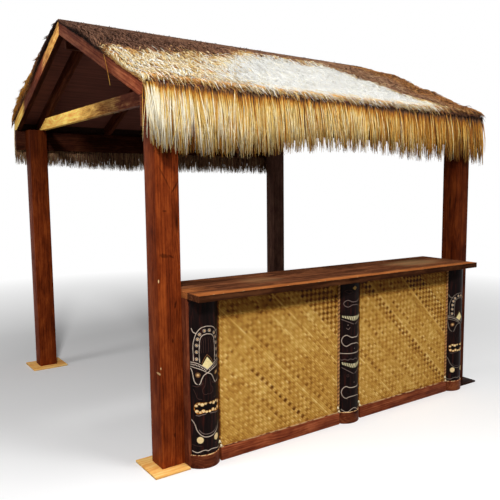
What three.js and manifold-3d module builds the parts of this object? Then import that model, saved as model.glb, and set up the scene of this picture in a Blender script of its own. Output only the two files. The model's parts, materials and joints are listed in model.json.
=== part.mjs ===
// Tiki bar hut: four square posts on base plates, a gabled roof with straw thatch and a hanging straw
// fringe along both eaves, and a counter with woven panels and carved columns between the front posts.
// Millimetres, +Z up. The customer's side faces -Y, and the left side is -X.
// The hut is laid out from its middle: x and y are zero under the ridge's midpoint, z is zero on the floor.

import * as THREE from 'three';
import { mergeVertices } from 'three/addons/utils/BufferGeometryUtils.js';
import Module from 'manifold-3d';

const wasm = await Module();
wasm.setup();

// Posts, on a square plan
const postSide = 140;
const postPitch = 2527;
const postHeight = 2085;
const plateOverhang = 72;
const plateThickness = 13;

// Lumber: boards for rafters, ties and rails, and the deeper boards of the ridge and the eaves
const boardThickness = 38;
const boardDepth = 89;
const beamDepth = 165;

// Roof frame: the pitch is rise over run, and the seat is the rafter's notch on the post's top
const roofPitchShare = 5 / 12;
const gableOverhang = 73;
const rafterSeat = 49;
const rafterBays = 4;
const deckThickness = 12;

// Thatch on the slopes, laid in courses that lap like shingles. Each pair of crown shares is a place down
// the slope, as a share of its length, and the height there, as a share of the thickness.
const thatchCourses = 3;
const thatchThinEdge = 6;
const thatchThickness = { front: 40, rear: 112 };
const crownShares = {
  front: [[0, 0.3], [0.11, 0.76], [0.31, 1], [0.54, 0.85], [0.66, 0.7], [0.8, 0.6], [0.9, 0.65], [1, 0.85]],
  rear: [[0, 0.16], [0.07, 0.34], [0.21, 0.46], [0.4, 0.6], [0.6, 0.72], [0.82, 1], [0.92, 0.8], [1, 0.42]],
};
const thatchLapLength = 90;
const thatchStep = 8;
const thatchEaveOverhang = 34;
const facetRows = 4;

// Hummocks of the thatch: one to a course down the slope, and these many along the ridge
const hummockHeight = { front: 16, rear: 9 };
const hummocksAlong = 4;
const facetsToHummock = 4;
const tuftPitch = 58;
const tuftDepth = 34;
const capLeg = 170;
const capThickness = 9;
const capEdge = 5;

// Straw fringe: two rows of strands under a strip that is nailed to the eave
const fringeStripHeight = 90;
const fringeStripThickness = 16;
const strandsInRow = 100;
const strandSides = 3;
const strandLength = 392;
const shortestStrandShare = 0.74;
const strandRootWidth = 24;
const strandTipWidth = 8;
const strandFlatShare = 0.3;
const strandSway = 8;
const fringeRows = [
  { placeShare: 0.28, flare: 0, flareSpread: 6 },
  { placeShare: 0.72, flare: 8, flareSpread: 18 },
];

// Counter: the board top, and the panelled front that carries it
const counterHeight = 1023;
const counterThickness = 38;
const counterInFront = 209;
const counterBehind = 335;
const counterPlanks = 4;
const panelInFront = 56;
const panelThickness = 12;
const endBoardBehind = 300;
const matThickness = 4;
const skirtThickness = 24;
const plinthHeight = 80;

// Carved half-round columns and their plinths: the row of three is wider than the gap between the posts, and
// stands a little to the right of its middle
const columnWidth = 178;
const columnDepth = 56;
const plinthLedge = 6;
const columnRowOverlap = 6;
const columnRowShift = 14;
const columnArcSteps = 14;

// Clearance where a piece rests on another along a slope, and how far a cutter runs past what it cuts
const seatGap = 0.3;
const cutOverrun = 2;

// Sizes that follow
const halfSpan = (postPitch + postSide) / 2;
const postInnerFace = halfSpan - postSide;
const roofHalfLength = halfSpan + gableOverhang;
const eaveFace = halfSpan + boardThickness;
const slopeFactor = Math.hypot(1, roofPitchShare);
const slopeAngle = Math.atan(roofPitchShare);
const rafterUnderApex = postHeight + roofPitchShare * (halfSpan - rafterSeat);
const rafterTopApex = rafterUnderApex + boardDepth * slopeFactor;
const deckUnderApex = rafterTopApex + seatGap * slopeFactor;
const deckTopApex = deckUnderApex + deckThickness * slopeFactor;
const bargeUnderApex = deckTopApex - boardDepth * slopeFactor;
const deckSlopeLength = eaveFace * slopeFactor;
const thatchLength = deckSlopeLength + thatchEaveOverhang;
const thatchExposure = thatchLength / thatchCourses;
const frontFace = -halfSpan;
const panelFace = frontFace - panelInFront;
const counterUnderside = counterHeight - counterThickness;
const plinthWidth = columnWidth + 2 * plinthLedge;
const plinthDepth = columnDepth + plinthLedge;
const goldenShare = (Math.sqrt(5) - 1) / 2;

const finish = {
  postWood: new THREE.MeshStandardMaterial({ color: 0x7a3418, roughness: 0.55, metalness: 0 }),
  frameWood: new THREE.MeshStandardMaterial({ color: 0x5c2a1c, roughness: 0.6, metalness: 0 }),
  plateWood: new THREE.MeshStandardMaterial({ color: 0xc98a4b, roughness: 0.7, metalness: 0 }),
  counterWood: new THREE.MeshStandardMaterial({ color: 0x6b3a22, roughness: 0.45, metalness: 0 }),
  carvedWood: new THREE.MeshStandardMaterial({ color: 0x2a1a16, roughness: 0.5, metalness: 0 }),
  wovenMat: new THREE.MeshStandardMaterial({ color: 0xc29a4e, roughness: 0.8, metalness: 0 }),
  thatch: new THREE.MeshStandardMaterial({ color: 0xcdb988, roughness: 0.9, metalness: 0 }),
};

// Scatter for ragged edges: the same index always gives the same share between 0 and 1
function scatter(index) {
  return (index * goldenShare) % 1;
}

function named(name, geometry, material) {
  const mesh = new THREE.Mesh(geometry, material);
  mesh.name = name;
  return mesh;
}

// Block between two corners
function block(name, material, low, high) {
  const size = high.map((value, axis) => value - low[axis]);
  const mesh = named(name, new THREE.BoxGeometry(...size), material);
  mesh.position.set(...high.map((value, axis) => (value + low[axis]) / 2));
  return mesh;
}

// Outline of [y, z] points, extruded along x between two places
function extrudedAlongX(outline, fromX, toX) {
  const shape = new THREE.Shape(outline.map(([y, z]) => new THREE.Vector2(y, z)));
  const geometry = new THREE.ExtrudeGeometry(shape, { depth: toX - fromX, bevelEnabled: false });
  const turn = new THREE.Matrix4().makeBasis(
    new THREE.Vector3(0, 1, 0),
    new THREE.Vector3(0, 0, 1),
    new THREE.Vector3(1, 0, 0),
  );
  geometry.applyMatrix4(turn);
  geometry.translate(fromX, 0, 0);
  return geometry;
}

function solidOf(geometry) {
  const bare = geometry.clone();
  bare.deleteAttribute('normal');
  bare.deleteAttribute('uv');
  const merged = mergeVertices(bare);
  return new wasm.Manifold(new wasm.Mesh({
    numProp: 3,
    vertProperties: new Float32Array(merged.attributes.position.array),
    triVerts: new Uint32Array(merged.index.array),
  }));
}

function geometryOf(solid) {
  const mesh = solid.getMesh();
  const geometry = new THREE.BufferGeometry();
  geometry.setAttribute('position', new THREE.BufferAttribute(mesh.vertProperties, 3));
  geometry.setIndex(new THREE.BufferAttribute(mesh.triVerts, 1));
  geometry.computeVertexNormals();
  return geometry;
}

// Posts and the plates under them. The front plates stop at the counter's end boards, and the right one is
// cut back for the last column's plinth.
function cornerPosts() {
  const corners = new THREE.Group();
  for (const [depthName, depthSide] of [['front', -1], ['rear', 1]]) {
    for (const [widthName, widthSide] of [['left', -1], ['right', 1]]) {
      const place = new THREE.Group();
      const middle = postPitch / 2;
      place.position.set(widthSide * middle, depthSide * middle, 0);
      const half = postSide / 2;
      const plate = half + plateOverhang;
      const inward = depthName === 'front' ? half : plate;
      const cutBack = depthName === 'front' ? columnRowOverlap + columnRowShift : 0;
      const lowX = widthSide < 0 ? -plate : cutBack - inward;
      const highX = widthSide < 0 ? inward : plate;
      place.add(block(`base_plate_${depthName}_${widthName}`, finish.plateWood,
        [lowX, -plate, 0], [highX, plate, plateThickness]));
      place.add(block(`post_${depthName}_${widthName}`, finish.postWood,
        [-half, -half, plateThickness], [half, half, postHeight]));
      corners.add(place);
    }
  }
  return corners;
}

// Tie beams from front post to rear post, with their ends cut to lie under the rafters
function tieBeams() {
  const ties = new THREE.Group();
  const top = postHeight + boardDepth;
  const cutGap = seatGap * slopeFactor / roofPitchShare;
  const lowerReach = (rafterUnderApex - postHeight) / roofPitchShare - cutGap;
  const upperReach = (rafterUnderApex - top) / roofPitchShare - cutGap;
  const outline = [
    [-lowerReach, postHeight],
    [lowerReach, postHeight],
    [upperReach, top],
    [-upperReach, top],
  ];
  for (const [widthName, widthSide] of [['left', -1], ['right', 1]]) {
    const inner = widthSide * postInnerFace;
    const outer = widthSide * (postInnerFace + boardThickness);
    const geometry = extrudedAlongX(outline, Math.min(inner, outer), Math.max(inner, outer));
    ties.add(named(`tie_beam_${widthName}`, geometry, finish.frameWood));
  }
  return ties;
}

function ridgeBeam() {
  const half = boardThickness / 2;
  const end = roofHalfLength - boardThickness;
  const top = deckUnderApex - roofPitchShare * half - seatGap;
  return block('ridge_beam', finish.frameWood, [-end, -half, top - beamDepth], [end, half, top]);
}

// One sloping board from the ridge to the eave, notched flat where it sits on the beam and post
function slopingBoard(underApex, startY) {
  const seatStart = (underApex - postHeight) / roofPitchShare;
  const topApex = underApex + boardDepth * slopeFactor;
  return [
    [startY, underApex - roofPitchShare * startY],
    [seatStart, postHeight],
    [eaveFace, postHeight],
    [eaveFace, topApex - roofPitchShare * eaveFace],
    [startY, topApex - roofPitchShare * startY],
  ];
}

// Rafters in line with the tie beams, and evenly spaced ones between them
function rafters(side, flip) {
  const group = new THREE.Group();
  const outline = slopingBoard(rafterUnderApex, boardThickness / 2);
  const endMiddle = postInnerFace + boardThickness / 2;
  for (let row = 0; row <= rafterBays; row += 1) {
    const middle = -endMiddle + 2 * endMiddle * row / rafterBays;
    const low = flip * middle - boardThickness / 2;
    const geometry = extrudedAlongX(outline, low, low + boardThickness);
    group.add(named(`rafter_${side}_${row + 1}`, geometry, finish.frameWood));
  }
  return group;
}

// Barge boards over the gables' edges: their tops are level with the deck's
function bargeBoards(side, flip) {
  const group = new THREE.Group();
  const outline = slopingBoard(bargeUnderApex, 0);
  for (const [widthName, widthSide] of [['left', -1], ['right', 1]]) {
    const outer = flip * widthSide * roofHalfLength;
    const inner = flip * widthSide * (roofHalfLength - boardThickness);
    const geometry = extrudedAlongX(outline, Math.min(inner, outer), Math.max(inner, outer));
    group.add(named(`barge_board_${side}_${widthName}`, geometry, finish.frameWood));
  }
  return group;
}

function roofDeck(side) {
  const end = roofHalfLength - boardThickness;
  const outline = [
    [0, deckUnderApex],
    [eaveFace, deckUnderApex - roofPitchShare * eaveFace],
    [eaveFace, deckTopApex - roofPitchShare * eaveFace],
    [0, deckTopApex],
  ];
  return named(`roof_deck_${side}`, extrudedAlongX(outline, -end, end), finish.frameWood);
}

function eaveBeam(side) {
  return block(`eave_beam_${side}`, finish.frameWood,
    [-roofHalfLength, halfSpan, postHeight - beamDepth], [roofHalfLength, eaveFace, postHeight]);
}

// Height of the thatch's crown over the deck, without its hummocks
function crownHeight(side, along) {
  const share = along / thatchLength;
  const table = crownShares[side];
  const above = table.findIndex(([place]) => place >= share);
  if (above <= 0) return thatchThickness[side] * table.at(above)[1];
  const [lowPlace, lowShare] = table[above - 1];
  const [highPlace, highShare] = table[above];
  const blend = (share - lowPlace) / (highPlace - lowPlace);
  return thatchThickness[side] * (lowShare + (highShare - lowShare) * blend);
}

// Hummocks swell from the ridge cap's edge and die out at the eave
function hummock(side, x, along) {
  const share = Math.max(0, (along - capLeg) / (thatchLength - capLeg));
  const swell = 4 * share * (1 - share);
  const down = Math.cos(2 * Math.PI * along / thatchExposure);
  const across = Math.cos(Math.PI * hummocksAlong * x / roofHalfLength);
  return hummockHeight[side] * swell * down * across;
}

// Courses are numbered from the eave up. A course runs down the slope from its start, which lies under the
// course above or at the ridge, past its cover's edge, to its end.
function courseSpan(course) {
  const isTop = course === thatchCourses - 1;
  const end = thatchLength - course * thatchExposure;
  const covered = isTop ? capLeg : end - thatchExposure;
  const start = isTop ? seatGap : covered - thatchLapLength;
  return { start, covered, end, coverEdge: isTop ? capEdge : thatchStep };
}

function courseTop(side, course, x, along) {
  const { start, covered, coverEdge } = courseSpan(course);
  if (along <= start) return thatchThinEdge;
  const crown = crownHeight(side, along) + hummock(side, x, along);
  return along <= covered ? crown - coverEdge : crown;
}

// Slab on the slope, made from a box with a unit for each row: rows of facets lie between the places, and
// the top of each is its own height over the deck
function quilted(places, bottom, topAt) {
  const rows = places.length - 1;
  const geometry = new THREE.BoxGeometry(
    2 * roofHalfLength, rows, 1, hummocksAlong * facetsToHummock, rows, 1);
  const points = geometry.attributes.position;
  for (let index = 0; index < points.count; index += 1) {
    const row = Math.round(points.getY(index) + rows / 2);
    const height = points.getZ(index) > 0 ? topAt(points.getX(index), row) : bottom;
    points.setY(index, places[row]);
    points.setZ(index, height);
  }
  return geometry;
}

// A course before its lower edge is cut and the course below is cut out of it
function courseSlab(side, course) {
  const { start, covered, end } = courseSpan(course);
  const places = [start];
  for (let row = 0; row <= facetRows; row += 1) {
    places.push(covered + (end - covered) * row / facetRows);
  }
  return solidOf(quilted(places, seatGap, (x, row) => courseTop(side, course, x, places[row])));
}

// What the course below takes up under a course
function lapCutter(side, below) {
  const { start, covered } = courseSpan(below);
  const places = [start - seatGap, covered, covered + cutOverrun];
  const along = [start, covered, covered];
  return solidOf(quilted(places, -cutOverrun, (x, row) => courseTop(side, below, x, along[row]) + seatGap));
}

// Plan of a course, with its lower edge in uneven tufts
function tuftedPlan(side, course) {
  const { start, end } = courseSpan(course);
  const tufts = Math.round(2 * roofHalfLength / tuftPitch);
  const step = 2 * roofHalfLength / tufts;
  const shape = new THREE.Shape();
  shape.moveTo(-roofHalfLength, start);
  shape.lineTo(-roofHalfLength, end - tuftDepth);
  for (let tuft = 0; tuft < tufts; tuft += 1) {
    const left = -roofHalfLength + tuft * step;
    shape.lineTo(left + step / 2, end - tuftDepth * scatter(tuft + course) / 2);
    shape.lineTo(left + step, end - tuftDepth);
  }
  shape.lineTo(roofHalfLength, start);
  const depth = thatchThickness[side] + hummockHeight[side];
  return new THREE.ExtrudeGeometry(shape, { depth, bevelEnabled: false });
}

function thatchCoursesOf(side) {
  const slope = new THREE.Group();
  slope.position.z = deckTopApex;
  slope.rotation.x = -slopeAngle;
  for (let course = 0; course < thatchCourses; course += 1) {
    const tufted = courseSlab(side, course).intersect(solidOf(tuftedPlan(side, course)));
    const fitted = course > 0 ? tufted.subtract(lapCutter(side, course - 1)) : tufted;
    slope.add(named(`thatch_${side}_course_${course + 1}`, geometryOf(fitted), finish.thatch));
  }
  return slope;
}

// Place on the deck's slope as [distance from the ridge plane, height]
function onSlope(along, above) {
  const cosine = Math.cos(slopeAngle);
  const sine = Math.sin(slopeAngle);
  return [along * cosine + above * sine, deckTopApex - along * sine + above * cosine];
}

function ridgeCap() {
  const topCourse = thatchCourses - 1;
  const under = deckTopApex + (thatchThinEdge + seatGap) * slopeFactor;
  const frontLeg = courseTop('front', topCourse, 0, capLeg) + seatGap;
  const rearLeg = courseTop('rear', topCourse, 0, capLeg) + seatGap;
  const [frontY, frontZ] = onSlope(capLeg, frontLeg);
  const [frontTopY, frontTopZ] = onSlope(capLeg, frontLeg + capEdge);
  const outline = [
    [-frontY, frontZ],
    [0, under],
    onSlope(capLeg, rearLeg),
    onSlope(capLeg, rearLeg + capEdge),
    [0, under + capThickness * slopeFactor],
    [-frontTopY, frontTopZ],
  ];
  return named('thatch_ridge_cap', extrudedAlongX(outline, -roofHalfLength, roofHalfLength), finish.thatch);
}

// One tapering strand whose root is at the origin. Its tip hangs below, swayed along x and flared along y.
function strand(length, sway, flare) {
  const widthToRadius = 2 * Math.sin(Math.PI / strandSides);
  const geometry = new THREE.CylinderGeometry(
    strandRootWidth / widthToRadius, strandTipWidth / widthToRadius, length, strandSides, 1, false, Math.PI);
  geometry.rotateX(Math.PI / 2);
  geometry.translate(0, 0, -length / 2);
  geometry.scale(1, strandFlatShare, 1);
  geometry.rotateY(Math.atan2(-sway, length));
  geometry.rotateX(Math.atan2(flare, length));
  return geometry;
}

function fringe(side) {
  const top = deckTopApex - roofPitchShare * (eaveFace + fringeStripThickness) - seatGap;
  const bottom = top - fringeStripHeight;
  const strip = new THREE.BoxGeometry(2 * roofHalfLength, fringeStripThickness, fringeStripHeight);
  strip.translate(0, eaveFace + fringeStripThickness / 2, top - fringeStripHeight / 2);
  const parts = [solidOf(strip)];
  const step = 2 * roofHalfLength / (strandsInRow + 1);
  fringeRows.forEach(({ placeShare, flare, flareSpread }, row) => {
    for (let place = 0; place < strandsInRow; place += 1) {
      const order = place * fringeRows.length + row;
      const shortening = (1 - shortestStrandShare) * scatter(order);
      const length = strandLength * (1 - shortening) - fringeStripHeight / 2;
      const sway = strandSway * (2 * scatter(order + place) - 1);
      const hair = strand(length, sway, flare + flareSpread * scatter(place));
      const x = -roofHalfLength + step * (place + (row + 1) / 2);
      hair.translate(x, eaveFace + fringeStripThickness * placeShare, bottom + fringeStripHeight / 2);
      parts.push(solidOf(hair));
    }
  });
  const fused = wasm.Manifold.union(parts);
  return named(`thatch_fringe_${side}`, geometryOf(fused), finish.thatch);
}

// Everything on one side of the ridge. Inside this group, y points from the ridge to the eave.
function roofSide(side) {
  const group = new THREE.Group();
  const flip = side === 'front' ? -1 : 1;
  group.rotation.z = side === 'front' ? Math.PI : 0;
  group.add(eaveBeam(side));
  group.add(rafters(side, flip));
  group.add(bargeBoards(side, flip));
  group.add(roofDeck(side));
  group.add(thatchCoursesOf(side));
  group.add(fringe(side));
  return group;
}

// Half-round upright in plan: flat at the back, an arc of the given depth at the front
function halfRound(name, material, middleX, width, depth, fromZ, toZ) {
  const radius = (width * width / 4 + depth * depth) / (2 * depth);
  const reach = Math.asin(width / (2 * radius));
  const sweep = radius < depth ? Math.PI - reach : reach;
  const shape = new THREE.Shape();
  for (let step = 0; step <= columnArcSteps; step += 1) {
    const angle = -sweep + 2 * sweep * step / columnArcSteps;
    shape.lineTo(radius * Math.sin(angle), radius - depth - radius * Math.cos(angle));
  }
  const geometry = new THREE.ExtrudeGeometry(shape, { depth: toZ - fromZ, bevelEnabled: false });
  const mesh = named(name, geometry, material);
  mesh.position.set(middleX, panelFace, fromZ);
  return mesh;
}

function counterTop() {
  const group = new THREE.Group();
  const front = frontFace - counterInFront;
  const width = (counterInFront + counterBehind) / counterPlanks;
  for (let plank = 0; plank < counterPlanks; plank += 1) {
    const low = front + plank * width;
    group.add(block(`counter_plank_${plank + 1}`, finish.counterWood,
      [-postInnerFace, low, counterUnderside], [postInnerFace, low + width, counterHeight]));
  }
  return group;
}

// Frame of the counter: end boards, rails along the front and back, and a stud behind the middle column
function counterFrame() {
  const group = new THREE.Group();
  const inner = postInnerFace - boardThickness;
  const rear = frontFace + endBoardBehind;
  const railFront = panelFace + panelThickness;
  const railBack = railFront + boardThickness;
  for (const [widthName, widthSide] of [['left', -1], ['right', 1]]) {
    const middle = widthSide * (postInnerFace - boardThickness / 2);
    group.add(block(`counter_end_board_${widthName}`, finish.frameWood,
      [middle - boardThickness / 2, panelFace, 0], [middle + boardThickness / 2, rear, counterUnderside]));
  }
  group.add(block('counter_rail_front_top', finish.frameWood,
    [-inner, railFront, counterUnderside - boardDepth], [inner, railBack, counterUnderside]));
  group.add(block('counter_rail_rear_top', finish.frameWood,
    [-inner, rear - boardThickness, counterUnderside - boardDepth], [inner, rear, counterUnderside]));
  group.add(block('counter_rail_front_bottom', finish.frameWood,
    [-inner, railFront, 0], [inner, railBack, boardDepth]));
  group.add(block('counter_stud_middle', finish.frameWood,
    [-boardDepth / 2, railFront, boardDepth], [boardDepth / 2, railBack, counterUnderside - boardDepth]));
  return group;
}

// Front of the counter: a backing panel with two woven mats and skirt boards between three columns
function counterFront() {
  const group = new THREE.Group();
  const inner = postInnerFace - boardThickness;
  group.add(block('counter_back_panel', finish.frameWood,
    [-inner, panelFace, 0], [inner, panelFace + panelThickness, counterUnderside]));
  const row = new THREE.Group();
  row.position.x = columnRowShift;
  group.add(row);
  const endColumn = postInnerFace - plinthWidth / 2 + columnRowOverlap;
  const columns = [['left', -endColumn], ['middle', 0], ['right', endColumn]];
  for (const [name, middle] of columns) {
    row.add(halfRound(`tiki_plinth_${name}`, finish.frameWood, middle,
      plinthWidth, plinthDepth, 0, plinthHeight));
    row.add(halfRound(`tiki_column_${name}`, finish.carvedWood, middle,
      columnWidth, columnDepth, plinthHeight, counterUnderside));
  }
  for (const [name, side] of [['left', -1], ['right', 1]]) {
    const matEdges = [side * columnWidth / 2, side * (endColumn - columnWidth / 2)];
    row.add(block(`woven_mat_${name}`, finish.wovenMat,
      [Math.min(...matEdges), panelFace - matThickness, plinthHeight],
      [Math.max(...matEdges), panelFace, counterUnderside]));
    const skirtEdges = [side * plinthWidth / 2, side * (endColumn - plinthWidth / 2)];
    row.add(block(`skirt_board_${name}`, finish.frameWood,
      [Math.min(...skirtEdges), panelFace - skirtThickness, 0],
      [Math.max(...skirtEdges), panelFace, plinthHeight]));
  }
  return group;
}

const layout = new THREE.Group();
layout.add(cornerPosts());
layout.add(tieBeams());
layout.add(ridgeBeam());
layout.add(roofSide('front'));
layout.add(roofSide('rear'));
layout.add(ridgeCap());
layout.add(counterTop());
layout.add(counterFrame());
layout.add(counterFront());

// The origin is in the middle of the hut's outline, on the floor
const outlineBox = new THREE.Box3().setFromObject(layout, true);
const outlineMiddle = outlineBox.getCenter(new THREE.Vector3());
layout.position.set(-outlineMiddle.x, -outlineMiddle.y, 0);

const hut = new THREE.Group();
hut.add(layout);

export default hut;
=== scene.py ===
# Looks of the tiki bar hut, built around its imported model.
# Metres, +Z up. Customers stand towards -Y, the ridge runs along X, and the origin is on the floor.

import json
import math

import bmesh
import bpy
import numpy as np
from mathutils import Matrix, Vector
from mathutils.bvhtree import BVHTree


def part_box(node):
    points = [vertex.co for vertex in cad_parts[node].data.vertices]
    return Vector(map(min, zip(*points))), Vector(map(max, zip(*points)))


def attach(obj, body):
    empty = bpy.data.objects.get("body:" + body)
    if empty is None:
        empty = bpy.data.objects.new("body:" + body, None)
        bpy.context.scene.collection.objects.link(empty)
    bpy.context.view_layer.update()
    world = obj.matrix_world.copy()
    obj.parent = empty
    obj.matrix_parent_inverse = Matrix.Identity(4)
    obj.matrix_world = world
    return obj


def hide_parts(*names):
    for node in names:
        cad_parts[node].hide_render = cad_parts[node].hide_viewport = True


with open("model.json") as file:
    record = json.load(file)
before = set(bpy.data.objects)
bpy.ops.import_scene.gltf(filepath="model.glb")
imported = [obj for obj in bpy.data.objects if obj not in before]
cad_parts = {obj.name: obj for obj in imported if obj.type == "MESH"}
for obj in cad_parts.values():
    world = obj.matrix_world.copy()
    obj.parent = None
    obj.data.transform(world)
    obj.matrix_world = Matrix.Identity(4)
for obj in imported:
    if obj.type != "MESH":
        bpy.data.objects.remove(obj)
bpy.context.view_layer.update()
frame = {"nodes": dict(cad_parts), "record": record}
nodes = frame["nodes"]
slot_of = {part["node"]: part["material_slot"] for part in frame["record"]["subparts"]}

MM = 0.001
AXIS_X, AXIS_Y, AXIS_Z = range(3)

# Camera: its place is measured from the front left post's outer front corner
CAMERA_FROM_POST = (-1.3974, -3.1318)
CAMERA_HEIGHT = 1.613
CAMERA_YAW = 0.65547
CAMERA_DIP = 0.11169
CAMERA_LENS = 44.4
SENSOR_WIDTH = 36.0
CAMERA_SHIFT = (-0.1082, 0.0089)

# Points closer than this are one, and what turns less than the angles below is flat or smooth
WELD = 0.02 * MM
FLAT_ANGLE = math.radians(1)
SHARP_ANGLE = math.radians(35)
ROUND_ANGLE = math.radians(60)

# Lumber
EASED_EDGE = 2.5 * MM
EASE_STEPS = 2
EASE_PROFILE = 0.6
PLANK_EDGE = 1.6 * MM


def shade(red, green, blue):
    """Linear colour of a screen colour whose channels run to 255."""
    levels = np.array([red, green, blue]) / 255
    linear = np.where(levels <= 0.04045, levels / 12.92, ((levels + 0.055) / 1.055) ** 2.4)
    return (*linear.tolist(), 1.0)


class Finish:
    """A material and the calls that build up its node tree."""

    def __init__(self, name, roughness, specular=0.35):
        self.material = bpy.data.materials.new(name)
        self.material.use_nodes = True
        self.tree = self.material.node_tree
        self.surface = self.tree.nodes["Principled BSDF"]
        self.surface.inputs["Roughness"].default_value = roughness
        self.surface.inputs["Specular IOR Level"].default_value = specular

    def feed(self, socket, value):
        if isinstance(value, bpy.types.NodeSocket):
            self.tree.links.new(value, socket)
        else:
            socket.default_value = value

    def node(self, kind, inputs=(), **settings):
        made = self.tree.nodes.new("ShaderNode" + kind)
        for name, value in settings.items():
            setattr(made, name, value)
        for socket, value in dict(inputs).items():
            self.feed(made.inputs[socket], value)
        return made

    def attribute(self, name, output="Fac"):
        return self.node("Attribute", attribute_name=name).outputs[output]

    def place(self):
        return self.node("TexCoord").outputs["Object"]

    def stretched(self, vector, scale):
        return self.node("Mapping", {"Vector": vector, "Scale": scale}).outputs["Vector"]

    def noise(self, vector, scale=1.0, detail=3.0, roughness=0.55, distortion=0.0):
        inputs = {"Vector": vector, "Scale": scale, "Detail": detail, "Roughness": roughness,
                  "Distortion": distortion}
        return self.node("TexNoise", inputs).outputs["Fac"]

    def number(self, operation, first, second):
        return self.node("Math", {0: first, 1: second}, operation=operation).outputs["Value"]

    def between(self, value, low, high, to_low=0.0, to_high=1.0):
        inputs = {"Value": value, "From Min": low, "From Max": high, "To Min": to_low, "To Max": to_high}
        return self.node("MapRange", inputs).outputs["Result"]

    def added(self, level, part, weight):
        """The level with a weighted part on top."""
        return self.number("ADD", level, self.number("MULTIPLY", part, weight))

    def swayed(self, level, noise, edge, sway):
        """The level swayed both ways by noise, whose values run from edge to as far below 1."""
        return self.number("ADD", level, self.between(noise, edge, 1 - edge, -sway, sway))

    def ramp(self, factor, stops):
        made = self.node("ValToRGB", {"Fac": factor})
        band = made.color_ramp
        while len(band.elements) < len(stops):
            band.elements.new(1.0)
        for element, (position, colour) in zip(band.elements, stops):
            element.position = position
            element.color = colour
        return made.outputs["Color"]

    def blend(self, factor, first, second, how="MIX"):
        made = self.node("Mix", data_type="RGBA", blend_type=how)
        factor_socket, first_socket, second_socket = (made.inputs[number] for number in (0, 6, 7))
        self.feed(factor_socket, factor)
        self.feed(first_socket, first)
        self.feed(second_socket, second)
        return made.outputs[2]

    def spot(self, centre, size, tilt, strength, noise):
        """How much an oval mark with a soft, uneven edge covers. Its size is half as wide, deep and tall."""
        inputs = {"Vector": self.place(), "Location": centre, "Rotation": (0.0, tilt, 0.0), "Scale": size}
        local = self.node("Mapping", inputs, vector_type="TEXTURE").outputs["Vector"]
        away = self.node("VectorMath", {0: local}, operation="LENGTH").outputs["Value"]
        uneven = self.swayed(away, noise, 0.3, 0.4)
        return self.between(uneven, 0.55, 1.15, strength, 0.0)

    def colour(self, value):
        self.feed(self.surface.inputs["Base Color"], value)

    def roughness(self, value):
        self.feed(self.surface.inputs["Roughness"], value)

    def bump(self, height, strength, distance):
        made = self.node("Bump", {"Height": height, "Strength": strength, "Distance": distance})
        self.feed(self.surface.inputs["Normal"], made.outputs["Normal"])


# Lumber's grain: how often each part repeats in a metre along, across and through a board
KNOT_SCALE = (1.7, 8.0, 8.0)
RING_SCALE = (0.2, 1.0, 1.0)
MOTTLE_SCALE = (5.0, 13.0, 13.0)
STREAK_SCALE = (1.8, 42.0, 42.0)
FIBRE_SCALE = (14.0, 260.0, 260.0)
CHIP_SCALE = (30.0, 90.0, 90.0)
MOTTLE_WEIGHT = 0.5
STREAK_WEIGHT = 0.26
FIBRE_WEIGHT = 0.18
RING_WEIGHT = 0.06
GRAIN_RANGE = (0.38, 0.62)
BARE_GRAIN_RANGE = (0.38, 0.6)
DARKEST_LEVEL = 0.35
# The tone of chips, of painted highlights on rims and of the counter's painted sheen.
CHIP_AND_HIGHLIGHT_TONE = shade(226, 186, 130)


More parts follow.
